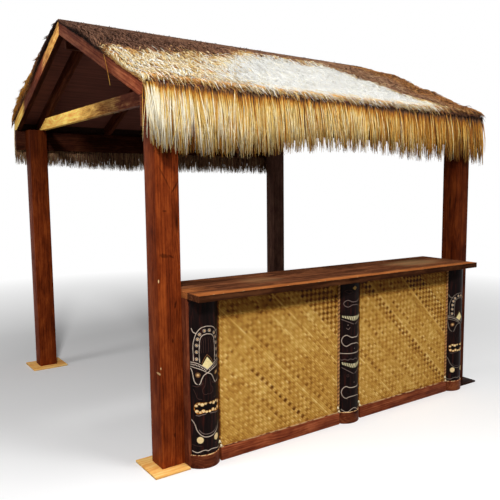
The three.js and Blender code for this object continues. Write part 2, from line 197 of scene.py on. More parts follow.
def wood(name, dark, middle, light, roughness, rings=22.0, bare_and_lit=None, knots=1.0, specular=0.02, marks=(),
         chips=()):
    """Stained lumber. The grain attribute gives the place along, across and through each board."""
    finish = Finish(name, roughness, specular)
    grain = finish.attribute("grain", "Vector")
    # This attribute multiplies the colour: the board's own stain, and on some boards painted light and
    # painted shade.
    stain_and_lighting = finish.attribute("stain_and_lighting")
    knot_inputs = {"Vector": finish.stretched(grain, KNOT_SCALE), "Scale": 1.0}
    knot_distance = finish.node("TexVoronoi", knot_inputs).outputs["Distance"]
    bend = finish.between(knot_distance, 0.05, 0.4, to_low=0.03, to_high=0.0)
    bent = finish.node("VectorMath", {0: grain, 1: finish.node("CombineXYZ", {1: bend, 2: bend}).outputs[0]})
    grain_bent = bent.outputs["Vector"]
    ring_inputs = {"Vector": finish.stretched(grain_bent, RING_SCALE), "Scale": rings, "Distortion": 3.4,
                   "Detail": 2.0, "Detail Scale": 1.2}
    ring_wave = finish.node("TexWave", ring_inputs, wave_type="RINGS", rings_direction="X").outputs["Fac"]
    mottle = finish.noise(finish.stretched(grain, MOTTLE_SCALE), detail=6.0, roughness=0.68, distortion=0.3)
    streaks = finish.noise(finish.stretched(grain_bent, STREAK_SCALE), roughness=0.6, distortion=0.4)
    fibres = finish.noise(finish.stretched(grain, FIBRE_SCALE), roughness=0.65)
    level = finish.number("MULTIPLY", ring_wave, RING_WEIGHT)
    for part, weight in ((mottle, MOTTLE_WEIGHT), (streaks, STREAK_WEIGHT), (fibres, FIBRE_WEIGHT)):
        level = finish.added(level, part, weight)
    tone = finish.ramp(finish.between(level, *GRAIN_RANGE), [(0.0, dark), (0.5, middle), (1.0, light)])
    darkest = tuple(DARKEST_LEVEL * channel for channel in dark[:3]) + (1.0,)
    tone = finish.blend(finish.between(knot_distance, 0.04, 0.12, to_low=knots, to_high=0.0), tone, darkest)
    for spots, colour in ((marks, darkest), (chips, CHIP_AND_HIGHLIGHT_TONE)):
        for spot in spots:
            tone = finish.blend(finish.spot(*spot, mottle), tone, colour)
    # Paler natural wood blended in: real wear on the counter, and painted light on the left tie beam and
    # rear left barge board.
    if bare_and_lit:
        bare_dark, bare_light = bare_and_lit
        bare_level = finish.between(level, *BARE_GRAIN_RANGE)
        natural = finish.ramp(bare_level, [(0.0, bare_dark), (1.0, bare_light)])
        edge = finish.added(finish.attribute("bare_and_lit"), fibres, 0.3)
        edge = finish.added(edge, mottle, 0.3)
        tone = finish.blend(finish.between(edge, 0.55, 0.9), tone, natural)
    # Pale flecks: chips along the counter's front edge, and painted highlights on the plinths' rims and the
    # skirt beads.
    chip_noise = finish.noise(finish.stretched(grain, CHIP_SCALE), detail=2.0)
    chip_level = finish.number("MULTIPLY", finish.attribute("chip_and_highlight"), chip_noise)
    tone = finish.blend(finish.between(chip_level, 0.62, 0.68), tone, CHIP_AND_HIGHLIGHT_TONE)
    stain_colour = finish.node("CombineColor", {0: stain_and_lighting, 1: stain_and_lighting, 2: stain_and_lighting}).outputs[0]
    finish.colour(finish.blend(1.0, tone, stain_colour, "MULTIPLY"))
    finish.roughness(finish.between(level, *GRAIN_RANGE, to_low=roughness + 0.1, to_high=roughness - 0.06))
    finish.bump(level, 0.3, 0.6 * MM)
    return finish.material


def hidden_wood(name, dark, light):
    """Boards and sheets that stay as the frame made them, with grain along X."""
    finish = Finish(name, roughness=0.75, specular=0.1)
    grain = finish.stretched(finish.place(), (2.0, 60.0, 60.0))
    level = finish.noise(grain, detail=4.0, roughness=0.6, distortion=0.4)
    sheet = finish.noise(finish.place(), scale=3.0, detail=2.0)
    mixed = finish.added(finish.number("MULTIPLY", level, 0.7), sheet, 0.3)
    finish.colour(finish.ramp(finish.between(mixed, 0.3, 0.7), [(0.0, dark), (1.0, light)]))
    finish.bump(level, 0.3, 0.5 * MM)
    return finish.material


STRAW_TONES = [
    (0.0, shade(24, 15, 11)),
    (0.14, shade(66, 46, 36)),
    (0.3, shade(118, 84, 60)),
    (0.45, shade(174, 108, 44)),
    (0.6, shade(212, 153, 64)),
    (0.76, shade(235, 205, 126)),
    (0.9, shade(250, 242, 216)),
    (1.0, shade(243, 243, 240)),
]
WEATHERED_TONES = [
    (0.0, shade(24, 15, 13)),
    (0.14, shade(66, 46, 38)),
    (0.3, shade(126, 90, 72)),
    (0.45, shade(160, 118, 90)),
    (0.7, shade(214, 182, 138)),
    (0.86, shade(242, 228, 190)),
    (1.0, shade(243, 243, 240)),
]
MAT_TONES = [
    (0.0, shade(52, 26, 10)),
    (0.22, shade(112, 60, 18)),
    (0.5, shade(178, 126, 50)),
    (0.75, shade(208, 164, 80)),
    (1.0, shade(240, 212, 140)),
]
CARVED_TONES = [(0.3, shade(12, 7, 7)), (0.56, shade(24, 14, 13)), (0.8, shade(62, 26, 20))]
CORD_COLOURS = [(0.3, shade(34, 20, 14)), (0.55, shade(104, 62, 30)), (1.0, shade(214, 158, 96))]


def straw_finish():
    finish = Finish("straw", roughness=0.7, specular=0.02)
    tone = finish.attribute("tone")
    fibre_place = finish.node("CombineXYZ", {0: finish.attribute("along"), 1: finish.attribute("strand")})
    fibres = finish.noise(finish.stretched(fibre_place.outputs[0], (7.0, 900.0, 1.0)), detail=2.0)
    flecks = finish.noise(finish.place(), scale=60.0, detail=2.0)
    level = finish.swayed(tone, fibres, 0.25, 0.07)
    level = finish.swayed(level, flecks, 0.3, 0.04)
    fresh = finish.ramp(level, STRAW_TONES)
    weathered = finish.ramp(level, WEATHERED_TONES)
    finish.colour(finish.blend(finish.attribute("weather"), fresh, weathered))
    finish.bump(fibres, 0.3, 0.8 * MM)
    return finish.material


def mat_finish():
    finish = Finish("woven leaf", roughness=0.6, specular=0.08)
    tone = finish.attribute("tone")
    fibre_place = finish.attribute("fibre", "Vector")
    fibres = finish.noise(finish.stretched(fibre_place, (60.0, 900.0, 1.0)), roughness=0.6)
    patches = finish.noise(finish.place(), scale=7.0, detail=2.0)
    level = finish.swayed(tone, fibres, 0.25, 0.13)
    level = finish.swayed(level, patches, 0.3, 0.07)
    finish.colour(finish.ramp(level, MAT_TONES))
    finish.bump(fibres, 0.3, 0.3 * MM)
    return finish.material


def carved_finish():
    """Near-black wood whose cut lines show bare wood, and painted marks."""
    finish = Finish("carved wood", roughness=0.42, specular=0.035)
    paint = finish.attribute("paint", "Color")
    share = finish.attribute("painted")
    streaks = finish.noise(finish.stretched(finish.place(), (60.0, 60.0, 7.0)))
    worn = finish.noise(finish.place(), scale=160.0, detail=2.0)
    ground = finish.ramp(streaks, CARVED_TONES)
    cover = finish.number("MULTIPLY", share, finish.between(worn, 0.28, 0.5, to_low=0.7))
    finish.colour(finish.blend(cover, ground, paint))
    finish.roughness(finish.between(share, 0.0, 1.0, to_low=0.4, to_high=0.65))
    finish.bump(streaks, 0.25, 0.5 * MM)
    return finish.material


def cord_finish():
    finish = Finish("braided cord", roughness=0.7, specular=0.25)
    place = finish.place()
    twist = finish.noise(finish.stretched(place, (120.0, 120.0, 60.0)), detail=2.0)
    worn = finish.noise(place, scale=9.0, detail=2.0)
    level = finish.added(finish.number("MULTIPLY", twist, 0.3), worn, 0.3)
    level = finish.number("ADD", level, finish.attribute("tone"))
    finish.colour(finish.ramp(level, CORD_COLOURS))
    finish.bump(twist, 0.4, 0.6 * MM)
    return finish.material


# Marks and chips on the front left post's front face: millimetres from its left edge and from the floor,
# half their width and height in millimetres, tilt in radians, strength. The side chip is round the corner.
POST_MARKS = (
    (71.5, 1760, 30, 60, 0.0, 0.5),
    (55.5, 1653, 6, 85, -0.48, 0.55),
    (112.5, 1600, 5, 40, 0.57, 0.65),
    (94.5, 1400, 4, 190, 0.02, 0.4),
    (52.5, 1473, 16, 7, 0.0, 0.55),
    (40.5, 1228, 34, 13, 0.2, 0.6),
    (83.5, 1222, 20, 5, 0.5, 0.6),
    (102.5, 948, 5, 22, 0.2, 0.8),
    (81.5, 745, 6, 14, 0.0, 0.8),
    (80.5, 196, 6, 14, 0.0, 0.8),
)
POST_CHIPS = ((5.5, 1089, 3.5, 9, 0.0, 1.0), (5.5, 599, 3, 7, 0.0, 0.9))
SIDE_CHIP = (0, 567, 3, 6, 0.0, 0.8)
SIDE_CHIP_BACK = 14 * MM

# Marks on the counter's top and pale patches on it that are painted sheen, in millimetres: places from the
# hut's middle along X and Y, half their sizes along X and Y. Then their strength.
COUNTER_MARKS = (
    (-970, -1060, 200, 100, 0.56),
    (-280, -1020, 200, 100, 0.28),
    (200, -1000, 280, 100, 0.34),
    (100, -1260, 160, 70, 0.26),
    (840, -1060, 220, 120, 0.36),
)
COUNTER_SHEEN = ((820, -1200, 300, 140, 0.2), (-620, -1200, 160, 100, 0.1))
MARK_DEPTH = 30 * MM


def post_spots(table, back=0.0):
    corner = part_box("post_front_left")[0]
    return [((corner.x + left * MM, corner.y + back, up * MM), (half_wide * MM, MARK_DEPTH, half_tall * MM),
             tilt, strength) for left, up, half_wide, half_tall, tilt, strength in table]


def counter_spots(table):
    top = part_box("counter_plank_1")[1].z
    return [((x * MM, y * MM, top), (half_x * MM, half_y * MM, MARK_DEPTH), 0.0, strength)
            for x, y, half_x, half_y, strength in table]


POST_WOOD = wood("post wood", shade(74, 26, 9), shade(114, 46, 17), shade(150, 70, 28), 0.5,
                 marks=post_spots(POST_MARKS),
                 chips=post_spots(POST_CHIPS) + post_spots([SIDE_CHIP], SIDE_CHIP_BACK))
FRAME_WOOD = wood("frame wood", shade(60, 26, 16), shade(98, 46, 28), shade(140, 80, 50), 0.55,
                  bare_and_lit=(shade(196, 128, 52), shade(252, 216, 116)))
PLATE_WOOD = wood("plate wood", shade(224, 140, 66), shade(250, 190, 104), shade(255, 222, 150), 0.6,
                  rings=14.0, knots=0.4)
COUNTER_WOOD = wood("counter wood", shade(62, 34, 22), shade(98, 57, 36), shade(140, 86, 54), 0.45,
                    bare_and_lit=(shade(128, 68, 34), shade(190, 116, 62)), knots=0.3, specular=0.0,
                    marks=counter_spots(COUNTER_MARKS), chips=counter_spots(COUNTER_SHEEN))
SKIRT_WOOD = wood("skirt wood", shade(74, 28, 16), shade(118, 56, 32), shade(158, 88, 54), 0.4,
                  specular=0.04)
HIDDEN_WOOD = hidden_wood("hidden wood", shade(92, 54, 47), shade(138, 84, 70))
SHADED_WOOD = wood("shaded wood", shade(74, 48, 40), shade(102, 70, 58), shade(134, 96, 80), 0.6)
STRAW = straw_finish()
WOVEN = mat_finish()
CARVED = carved_finish()
CORD = cord_finish()

WOOD_OF_SLOT = {
    "post_wood": POST_WOOD,
    "frame_wood": FRAME_WOOD,
    "plate_wood": PLATE_WOOD,
    "counter_wood": COUNTER_WOOD,
    "skirt_wood": SKIRT_WOOD,
}
# Painted shade: the front right base plate takes the darker frame wood, and the rear right post the greyer
# shaded wood.
WOOD_OF_BOARD = {"base_plate_front_right": FRAME_WOOD, "post_rear_right": SHADED_WOOD}


def mesh_of(name, points, faces):
    """A mesh of numpy points and arrays of faces, where one array holds faces with as many corners."""
    mesh = bpy.data.meshes.new(name)
    mesh.vertices.add(len(points))
    mesh.vertices.foreach_set("co", np.asarray(points, np.float32).ravel())
    corners = np.concatenate([face.ravel() for face in faces])
    counts = np.concatenate([np.full(len(face), face.shape[1]) for face in faces])
    starts = np.concatenate([[0], np.cumsum(counts)[:-1]])
    mesh.loops.add(len(corners))
    mesh.loops.foreach_set("vertex_index", corners.astype(np.int32))
    mesh.polygons.add(len(counts))
    mesh.polygons.foreach_set("loop_start", starts.astype(np.int32))
    mesh.update(calc_edges=True)
    return mesh


def grid_points(*axes):
    """Points of a grid, from the grids of their x, y and z."""
    return np.stack([axis.ravel() for axis in axes], -1)


def grid_faces(index):
    """Four-cornered faces between the neighbours in a grid of point numbers."""
    return np.stack([index[:-1, :-1], index[1:, :-1], index[1:, 1:], index[:-1, 1:]], -1).reshape(-1, 4)


def numbers(mesh, name, values, kind="FLOAT"):
    key = {"FLOAT": "value", "FLOAT_VECTOR": "vector", "FLOAT_COLOR": "color"}[kind]
    layer = mesh.attributes.new(name, kind, "POINT")
    layer.data.foreach_set(key, np.asarray(values, np.float32).ravel())


def piece(name, mesh, material, replaced=()):
    """An object of its own that rides on the hut's one body."""
    made = bpy.data.objects.new(name, mesh)
    bpy.context.scene.collection.objects.link(made)
    mesh.materials.clear()
    mesh.materials.append(material)
    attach(made, "root")
    if replaced:
        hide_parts(*replaced)


def smooth(mesh, angle=SHARP_ANGLE):
    mesh.shade_smooth()
    mesh.set_sharp_from_angle(angle=angle)


def smoothstep(value, low, high):
    share = np.clip((value - low) / (high - low), 0, 1)
    return share * share * (3 - 2 * share)


def read_off(value, table, reach=1.0, level=1.0, low=0.0):
    """Values of a table of shares: its places reach from low, its values are shares of the level."""
    places = [low + reach * place for place, _ in table]
    return np.interp(value, places, [level * share for _, share in table])


# Roof slopes: a place is its x, its distance down the slope from the ridge, and its height off the deck
ROOF_PITCH_SHARE = 5 / 12
STRAW_EAVE_OVERHANG = 34 * MM
deck_low, deck_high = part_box("roof_deck_front")
ridge_low, ridge_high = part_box("ridge_beam")
SLOPE = math.hypot(1, ROOF_PITCH_SHARE)
SLOPE_COSINE = 1 / SLOPE
SLOPE_SINE = ROOF_PITCH_SHARE / SLOPE
RIDGE_Y = (ridge_low.y + ridge_high.y) / 2
APEX_Z = deck_high.z
GABLE_X = -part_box("barge_board_front_left")[0].x
EAVE_RUN = RIDGE_Y - deck_low.y
STRAW_LENGTH = EAVE_RUN * SLOPE + STRAW_EAVE_OVERHANG
TOWARDS = {"front": -1, "rear": 1}


def on_slope(side, x, down, above):
    run = down * SLOPE_COSINE + above * SLOPE_SINE
    drop = down * SLOPE_SINE - above * SLOPE_COSINE
    return np.stack(np.broadcast_arrays(x, RIDGE_Y + TOWARDS[side] * run, APEX_Z - drop), -1)


def grain_axes(name):
    """Unit vectors along, across and through a board, by its name."""
    x, y, z = np.eye(3)
    if name.startswith("tie_beam"):
        return y, z, x
    if name.startswith(("post", "tiki", "counter_end")):
        return z, x, y
    if name.startswith(("rafter", "barge")):
        flip = -1 if "front" in name else 1
        return (0, flip * SLOPE_COSINE, -SLOPE_SINE), (0, flip * SLOPE_SINE, SLOPE_COSINE), x
    return x, y, z


# Where a board lies in its log: how far along the grain it may start, and how far off its pith is
LOG_LENGTH = 40
PITH_REACH = 0.05


def grained(mesh, name, seed, stain_and_lighting=1.0, bare_and_lit=0.0, chip_and_highlight=0.0):
    """Gives a board's mesh the attributes that its wood reads, from levels or functions of its points."""
    scatter = np.random.default_rng(seed)
    points = np.zeros(len(mesh.vertices) * 3)
    mesh.vertices.foreach_get("co", points)
    points = points.reshape(-1, 3)
    places = points @ np.array(grain_axes(name)).T
    places[:, 1:] -= places[:, 1:].mean(0)
    pith = scatter.uniform(-1, 1, 2)
    places += [scatter.uniform(0, LOG_LENGTH), PITH_REACH * pith[0], PITH_REACH + PITH_REACH * pith[1]]
    numbers(mesh, "grain", places, "FLOAT_VECTOR")
    for key, level in (("stain_and_lighting", stain_and_lighting), ("bare_and_lit", bare_and_lit), ("chip_and_highlight", chip_and_highlight)):
        numbers(mesh, key, level(points) if callable(level) else np.full(len(points), level))


def board(name, seed, ease=EASED_EDGE, cuts=(), **finish):
    """A copy of a frame board with eased edges, cut across at planes where its finish changes."""
    shape = bmesh.new()
    shape.from_mesh(nodes[name].data)
    bmesh.ops.remove_doubles(shape, verts=shape.verts, dist=WELD)
    bmesh.ops.dissolve_limit(shape, angle_limit=FLAT_ANGLE, verts=shape.verts, edges=shape.edges)
    sharp = [edge for edge in shape.edges if edge.calc_face_angle(0) > SHARP_ANGLE]
    bmesh.ops.bevel(shape, geom=sharp, offset=ease, segments=EASE_STEPS, profile=EASE_PROFILE,
                    affect="EDGES", clamp_overlap=True)
    for axis, place in cuts:
        direction = Vector(np.eye(3)[axis])
        geometry = [*shape.verts, *shape.edges, *shape.faces]
        bmesh.ops.bisect_plane(shape, geom=geometry, dist=WELD, plane_co=direction * place,
                               plane_no=direction)
    mesh = bpy.data.meshes.new(name + "_eased")
    shape.to_mesh(mesh)
    shape.free()
    smooth(mesh)
    grained(mesh, name, seed, **finish)
    slot = slot_of[name]
    piece(name + "_board", mesh, WOOD_OF_BOARD.get(name, WOOD_OF_SLOT[slot]), [name])


# How much stain a board took, by the start of its name; others took 1
# How dark or light each board is painted, by the start of its name; others take 1. The front right post and
# base plate, the rafters, the ridge beam and the rear eave beam are darkened as painted shade; the left
# counter end board and left skirt board are lighter.
SHADE_AND_STAIN_LEVELS = {
    "post_front_right": 0.42,
    "base_plate_front_right": 0.09,
    "rafter": 0.6,
    "ridge_beam": 0.35,
    "eave_beam_rear": 0.3,
    "counter_end_board_left": 1.2,
    "skirt_board_left": 1.3,
}

# How much painted light or painted shade a board carries at shares of its length, front to rear or foot to
# top: paler, unstained-looking wood and higher or lower stain levels stand in for lamp light and shade
TIE_PAINTED_LIGHT_SHARES = ((0.0, 0.1), (0.2, 0.2), (0.32, 0.29), (0.44, 0.38), (0.56, 0.5), (0.68, 0.64),
                   (0.78, 0.9), (1.0, 1.0))
TIE_PAINTED_BRIGHTNESS_SHARES = ((0.0, 0.9), (0.3, 1.05), (0.45, 1.6), (0.6, 1.8), (0.75, 1.5), (1.0, 1.65))
BARGE_PAINTED_SHEEN_SHARES = ((0.0, 2.5), (0.15, 2.1), (0.3, 1.5), (0.45, 1.1), (0.6, 1.05), (1.0, 1.35))
REAR_BARGE_PAINTED_LIGHT_SHARES = ((0.0, 0.34), (0.2, 0.34), (0.3, 0.26), (0.4, 0.16), (0.5, 0.0), (0.66, 0.0),
                          (0.74, 0.3), (0.82, 0.75), (1.0, 1.0))
REAR_BARGE_LIGHT_AND_SHADE_SHARES = ((0.0, 3.1), (0.25, 3.0), (0.4, 2.0), (0.55, 0.8), (0.68, 0.8), (0.78, 1.3),
                           (1.0, 1.25))
POST_SHADE_SHARES = ((0.0, 0.95), (0.62, 0.92), (0.8, 0.66), (0.92, 0.38), (1.0, 0.34))
INNER_BARGE_PAINTED_SHADE = 0.4

# The bare strip along the counter's front edge, which is wider left of these places
STRIP_BARE_SHARES = ((0.0, 1.0), (0.26, 0.8), (0.48, 0.42), (0.7, 0.14), (1.0, 0.0))
STRIP_WIDER = (-1.16, -1.0, -0.84)
WIDER_CUTS = [(AXIS_X, place) for place in STRIP_WIDER]
WIDER_BARE = 0.24
SECOND_PLANK_BARE = 0.52
FRONT_EDGE_STAIN = 0.4
CHIP_REACH = 7 * MM


def graded(name, axis, table):
    """Where a table of shares changes along a node, and a function that reads it off for points."""
    low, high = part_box(name)
    reach = high[axis] - low[axis]
    cuts = [(axis, low[axis] + reach * share) for share, _ in table[1:-1]]
    return cuts, lambda points: read_off(points[:, axis], table, reach, low=low[axis])


# The left tie beam is painted light: golden and paler towards its rear.
def tie_beam_left():
    cuts, bare_and_lit = graded("tie_beam_left", AXIS_Y, TIE_PAINTED_LIGHT_SHARES)
    _, stain_and_lighting = graded("tie_beam_left", AXIS_Y, TIE_PAINTED_BRIGHTNESS_SHARES)
    return {"cuts": cuts, "bare_and_lit": bare_and_lit, "stain_and_lighting": stain_and_lighting}


# The front left barge board is painted lighter towards the eave, as a painted sheen.
def barge_board_front_left():
    cuts, stain_and_lighting = graded("barge_board_front_left", AXIS_Y, BARGE_PAINTED_SHEEN_SHARES)
    return {"cuts": cuts, "stain_and_lighting": stain_and_lighting}


def barge_board_rear_left():
    """Outside, painted light: golden at the rear, bright near the ridge, painted shade between. Inside,
    painted shade.
    """
    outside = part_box("barge_board_rear_left")[0].x + WELD
    cuts, bare_and_lit = graded("barge_board_rear_left", AXIS_Y, REAR_BARGE_PAINTED_LIGHT_SHARES)
    _, stain_and_lighting = graded("barge_board_rear_left", AXIS_Y, REAR_BARGE_LIGHT_AND_SHADE_SHARES)
    return {
        "cuts": cuts,
        "bare_and_lit": lambda points: bare_and_lit(points) * (points[:, AXIS_X] < outside),
        "stain_and_lighting": lambda points: np.where(points[:, AXIS_X] < outside, stain_and_lighting(points), INNER_BARGE_PAINTED_SHADE),
    }


# The rear left post is painted darker towards its top, as painted shade under the roof.
def post_rear_left():
    cuts, stain_and_lighting = graded("post_rear_left", AXIS_Z, POST_SHADE_SHARES)
    return {"cuts": cuts, "stain_and_lighting": stain_and_lighting}


def left_end(points):
    """How far places are towards the counter's left end, from 0 to 1."""
    return 1 - smoothstep(points[:, AXIS_X], STRIP_WIDER[0], STRIP_WIDER[-1])


def counter_plank_1():
    """Worn to raw wood along the front edge, with chips right at the edge, and darker on its front face."""
    low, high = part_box("counter_plank_1")
    cuts, bare_and_lit = graded("counter_plank_1", AXIS_Y, STRIP_BARE_SHARES)
    chips = low.y + CHIP_REACH
    rim = high.z - PLANK_EDGE

    def on_top(points):
        return points[:, AXIS_Z] > rim - WELD

    def on_front(points):
        return (points[:, AXIS_Y] < low.y + WELD) & (points[:, AXIS_Z] < rim)

    return {
        "cuts": [(AXIS_Y, chips), (AXIS_Z, rim - PLANK_EDGE), *cuts, *WIDER_CUTS],
        "stain_and_lighting": lambda points: np.where(on_front(points), FRONT_EDGE_STAIN, 1.0),
        "bare_and_lit": lambda points: (bare_and_lit(points) + WIDER_BARE * left_end(points)) * on_top(points),
        "chip_and_highlight": lambda points: ((points[:, AXIS_Y] < chips - WELD) & on_top(points)).astype(float),
    }


def counter_plank_2():
    return {"cuts": WIDER_CUTS, "bare_and_lit": lambda points: SECOND_PLANK_BARE * left_end(points)}


# Boards stained, worn or painted with light and shade unevenly, and the starts of names of those that keep
# the frame's shape
SPECIAL_BOARDS = {
    "tie_beam_left": tie_beam_left(),
    "barge_board_front_left": barge_board_front_left(),
    "barge_board_rear_left": barge_board_rear_left(),
    "post_rear_left": post_rear_left(),
    "counter_plank_1": counter_plank_1(),
    "counter_plank_2": counter_plank_2(),
}
PLAIN_BOARDS = ("roof_deck", "counter_rail", "counter_stud", "counter_back")


def lumber():
    """Every board, with its own copy where its edges show."""
    for seed, name in enumerate(sorted(nodes)):
        if slot_of[name] not in WOOD_OF_SLOT or name.startswith("tiki_plinth"):
            continue
        if name.startswith(PLAIN_BOARDS):
            mesh = nodes[name].data
            mesh.materials.clear()
            mesh.materials.append(HIDDEN_WOOD)
            continue
        ease = PLANK_EDGE if name.startswith("counter_plank") else EASED_EDGE
        stain_and_lighting = next((level for start, level in SHADE_AND_STAIN_LEVELS.items() if name.startswith(start)), 1.0)
        board(name, seed, ease, **{"stain_and_lighting": stain_and_lighting, **SPECIAL_BOARDS.get(name, {})})


# Straws: closed three-sided blades along paths. The strand attribute tells blades and their corners apart.
STRAND_STEP = 0.013
CORNER_STEPS = (0.0, 0.004, 0.002)
BLADE_FOLD = 0.4
TINY = 1e-12


def unit(vectors):
    return vectors / (np.linalg.norm(vectors, axis=-1, keepdims=True) + TINY)


def blades(paths, sides, widths, tones, fold=BLADE_FOLD, weather=0.0):
    """paths is blade by step by xyz, sides is the blades' width directions, widths is blade by step."""
    count, steps = paths.shape[:2]
    travel = unit(np.gradient(paths, axis=1))
    sides = np.broadcast_to(sides, paths.shape)
    crest = unit(np.cross(sides, travel))
    half = widths[..., None] / 2
    corners = np.stack([paths - sides * half, paths + sides * half, paths + crest * half * 2 * fold], 2)
    ring = (np.arange(count)[:, None] * steps + np.arange(steps)) * 3
    quads = []
    for corner in range(3):
        after = (corner + 1) % 3
        quads.append(np.stack([ring[:, :-1] + corner, ring[:, 1:] + corner, ring[:, 1:] + after,
                               ring[:, :-1] + after], -1).reshape(-1, 4))
    start, end = ring[:, 0], ring[:, -1]
    caps = np.concatenate([np.stack([start, start + 1, start + 2], -1),
                           np.stack([end + 2, end + 1, end], -1)])
    length = np.cumsum(np.linalg.norm(np.diff(paths, axis=1), axis=2), axis=1)
    along = np.concatenate([np.zeros((count, 1)), length], 1)
    strand = np.repeat(np.arange(count) * STRAND_STEP, steps)
    values = {
        "tone": np.repeat(tones.reshape(-1), 3),
        "along": np.repeat(along.reshape(-1), 3),
        "strand": np.repeat(strand, 3) + np.tile(CORNER_STEPS, count * steps),
        "weather": np.repeat(np.broadcast_to(weather, count), steps * 3),
    }
    return corners.reshape(-1, 3), np.concatenate(quads), caps, values


def straw_piece(name, parts, replaced=()):
    """Joins parts in a piece, each with its points, four-cornered and three-cornered faces, and values."""
    offset = 0
    points, quads, triangles = [], [], []
    for part_points, part_quads, part_triangles, _ in parts:
        points.append(part_points)
        quads.append(part_quads + offset)
        triangles.append(part_triangles + offset)
        offset += len(part_points)
    mesh = mesh_of(name, np.concatenate(points), [np.concatenate(quads), np.concatenate(triangles)])
    for key in ("tone", "along", "strand", "weather"):
        numbers(mesh, key, np.concatenate([part[3][key] for part in parts]))
    piece(name, mesh, STRAW, replaced)


RIPPLE_WAVES = 9
RIPPLE_PITCHES = (0.6, 1.8)
RIPPLE_HEIGHT = 4.2


def ripple(x, y, seed, size):
    """Smooth noise between about -1 and 1 over a plane."""
    scatter = np.random.default_rng(seed)
    total = np.zeros(np.broadcast(x, y).shape)
    for _ in range(RIPPLE_WAVES):
        turn = scatter.uniform(0, math.tau)
        pitch = scatter.uniform(*RIPPLE_PITCHES) / size
        along = x * math.cos(turn) + y * math.sin(turn)
        total += np.sin(math.tau * pitch * along + scatter.uniform(0, math.tau))
    return total / RIPPLE_HEIGHT


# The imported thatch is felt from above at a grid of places, down to where its tufted edge starts
COURSES = 3
HIGHEST_STRAW = 300 * MM
TUFT_DEPTH = 36 * MM
FELT_ACROSS = 113
FELT_DOWN = 76
FELT_MARGIN = 2 * MM
LAST_CELL = 1.001

# Near the ridge the front slope's straw is worn lower
WORN_SHARE = 0.45
WORN_REACH = (0.05, 0.4)


def packed_heights(side):
    """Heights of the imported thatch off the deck, at places across and down the slope."""
    shape = bmesh.new()
    for name in nodes:
        if name.startswith(f"thatch_{side}_course") or name == "thatch_ridge_cap":
            shape.from_mesh(nodes[name].data)
    tree = BVHTree.FromBMesh(shape)
    across = np.linspace(-GABLE_X + FELT_MARGIN, GABLE_X - FELT_MARGIN, FELT_ACROSS)
    down = np.linspace(FELT_MARGIN, STRAW_LENGTH - TUFT_DEPTH, FELT_DOWN)
    inward = Vector((0, -TOWARDS[side] * SLOPE_SINE, -SLOPE_COSINE))
    heights = np.zeros((FELT_ACROSS, FELT_DOWN))
    for column, x in enumerate(across):
        for row, place in enumerate(down):
            distance = tree.ray_cast(Vector(on_slope(side, x, place, HIGHEST_STRAW)), inward)[3]
            heights[column, row] = HIGHEST_STRAW - (distance or HIGHEST_STRAW)
    shape.free()
    softened = heights.copy()
    softened[:, 1:-1] = (heights[:, :-2] + 2 * heights[:, 1:-1] + heights[:, 2:]) / 4
    return across, down, softened


PACKED_HEIGHTS = {side: packed_heights(side) for side in TOWARDS}


def straw_height(side, x, down):
    """Height of the thatch off the deck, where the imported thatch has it."""
    across, places, heights = PACKED_HEIGHTS[side]
    column = np.clip((x - across[0]) / (across[1] - across[0]), 0, len(across) - LAST_CELL)
    row = np.clip((down - places[0]) / (places[1] - places[0]), 0, len(places) - LAST_CELL)
    i, j = column.astype(int), row.astype(int)
    u, v = column - i, row - j
    nearer = heights[i, j] * (1 - u) + heights[i + 1, j] * u
    farther = heights[i, j + 1] * (1 - u) + heights[i + 1, j + 1] * u
    worn = 1 - WORN_SHARE * (1 - smoothstep(down, *WORN_REACH)) * (side == "front")
    return (nearer * (1 - v) + farther * v) * worn


# Where the front slope's brown upper straw ends, as shares of half the ridge and of the slope. The brown is
# partly the straw's own colour and partly painted shade.
BROWN_EDGE_SHARES = ((-1.0, 0.6), (-0.75, 0.56), (-0.4, 0.44), (-0.05, 0.26), (0.38, 0.28), (0.47, 0.44),
                     (0.56, 0.76), (0.7, 0.94), (1.0, 1.04))

# Edges of the painted highlight, where the straw is painted near white: places across at shares of the
# slope, then places down at shares of the ridge
HIGHLIGHT_LEFT_SHARES = ((0.3, -0.06), (0.59, -0.26), (0.84, -0.46), (1.02, -0.48))
HIGHLIGHT_RIGHT_SHARES = ((0.37, 0.42), (0.54, 0.49), (0.68, 0.52), (0.77, 0.57), (0.91, 0.6), (1.02, 0.6))
HIGHLIGHT_TOP_SHARES = ((-0.5, 0.5), (-0.06, 0.29), (0.17, 0.31), (0.42, 0.32), (0.6, 0.7))

# Ripples in the straw: how strong, their seed and their size in metres
HIGHLIGHT_LEFT_RIPPLE = (0.05, 25, 0.2)
HIGHLIGHT_RIGHT_RIPPLE = (0.05, 26, 0.2)
BROWN_EDGE_RIPPLE = (0.09, 23, 0.35)
REAR_EDGE_RIPPLE = (0.12, 21, 0.5)
FRONT_TONE_RIPPLE = (0.03, 24, 0.25)
REAR_TONE_RIPPLE = (0.05, 22, 0.3)
YAW_RIPPLE_SIZE = 0.3

# How softly the straw changes: from and to, in metres from the edges above or, for the rear, from the ridge
HIGHLIGHT_LEFT_SOFT = (-0.3, 0.12)
HIGHLIGHT_RIGHT_SOFT = (-0.12, 0.08)
HIGHLIGHT_TOP_SOFT = (-0.05, 0.08)
BROWN_EDGE_SOFT = (-0.14, 0.14)
REAR_PALE = (0.35, 0.85)

# Tones: an amount that comes in between two places across the hut, in metres from its middle
WARMTH = 0.25
WARMER = ((0.08, -1.1, -0.5), (0.1, 0.1, 0.7))
STRAW_LEVEL = 0.855
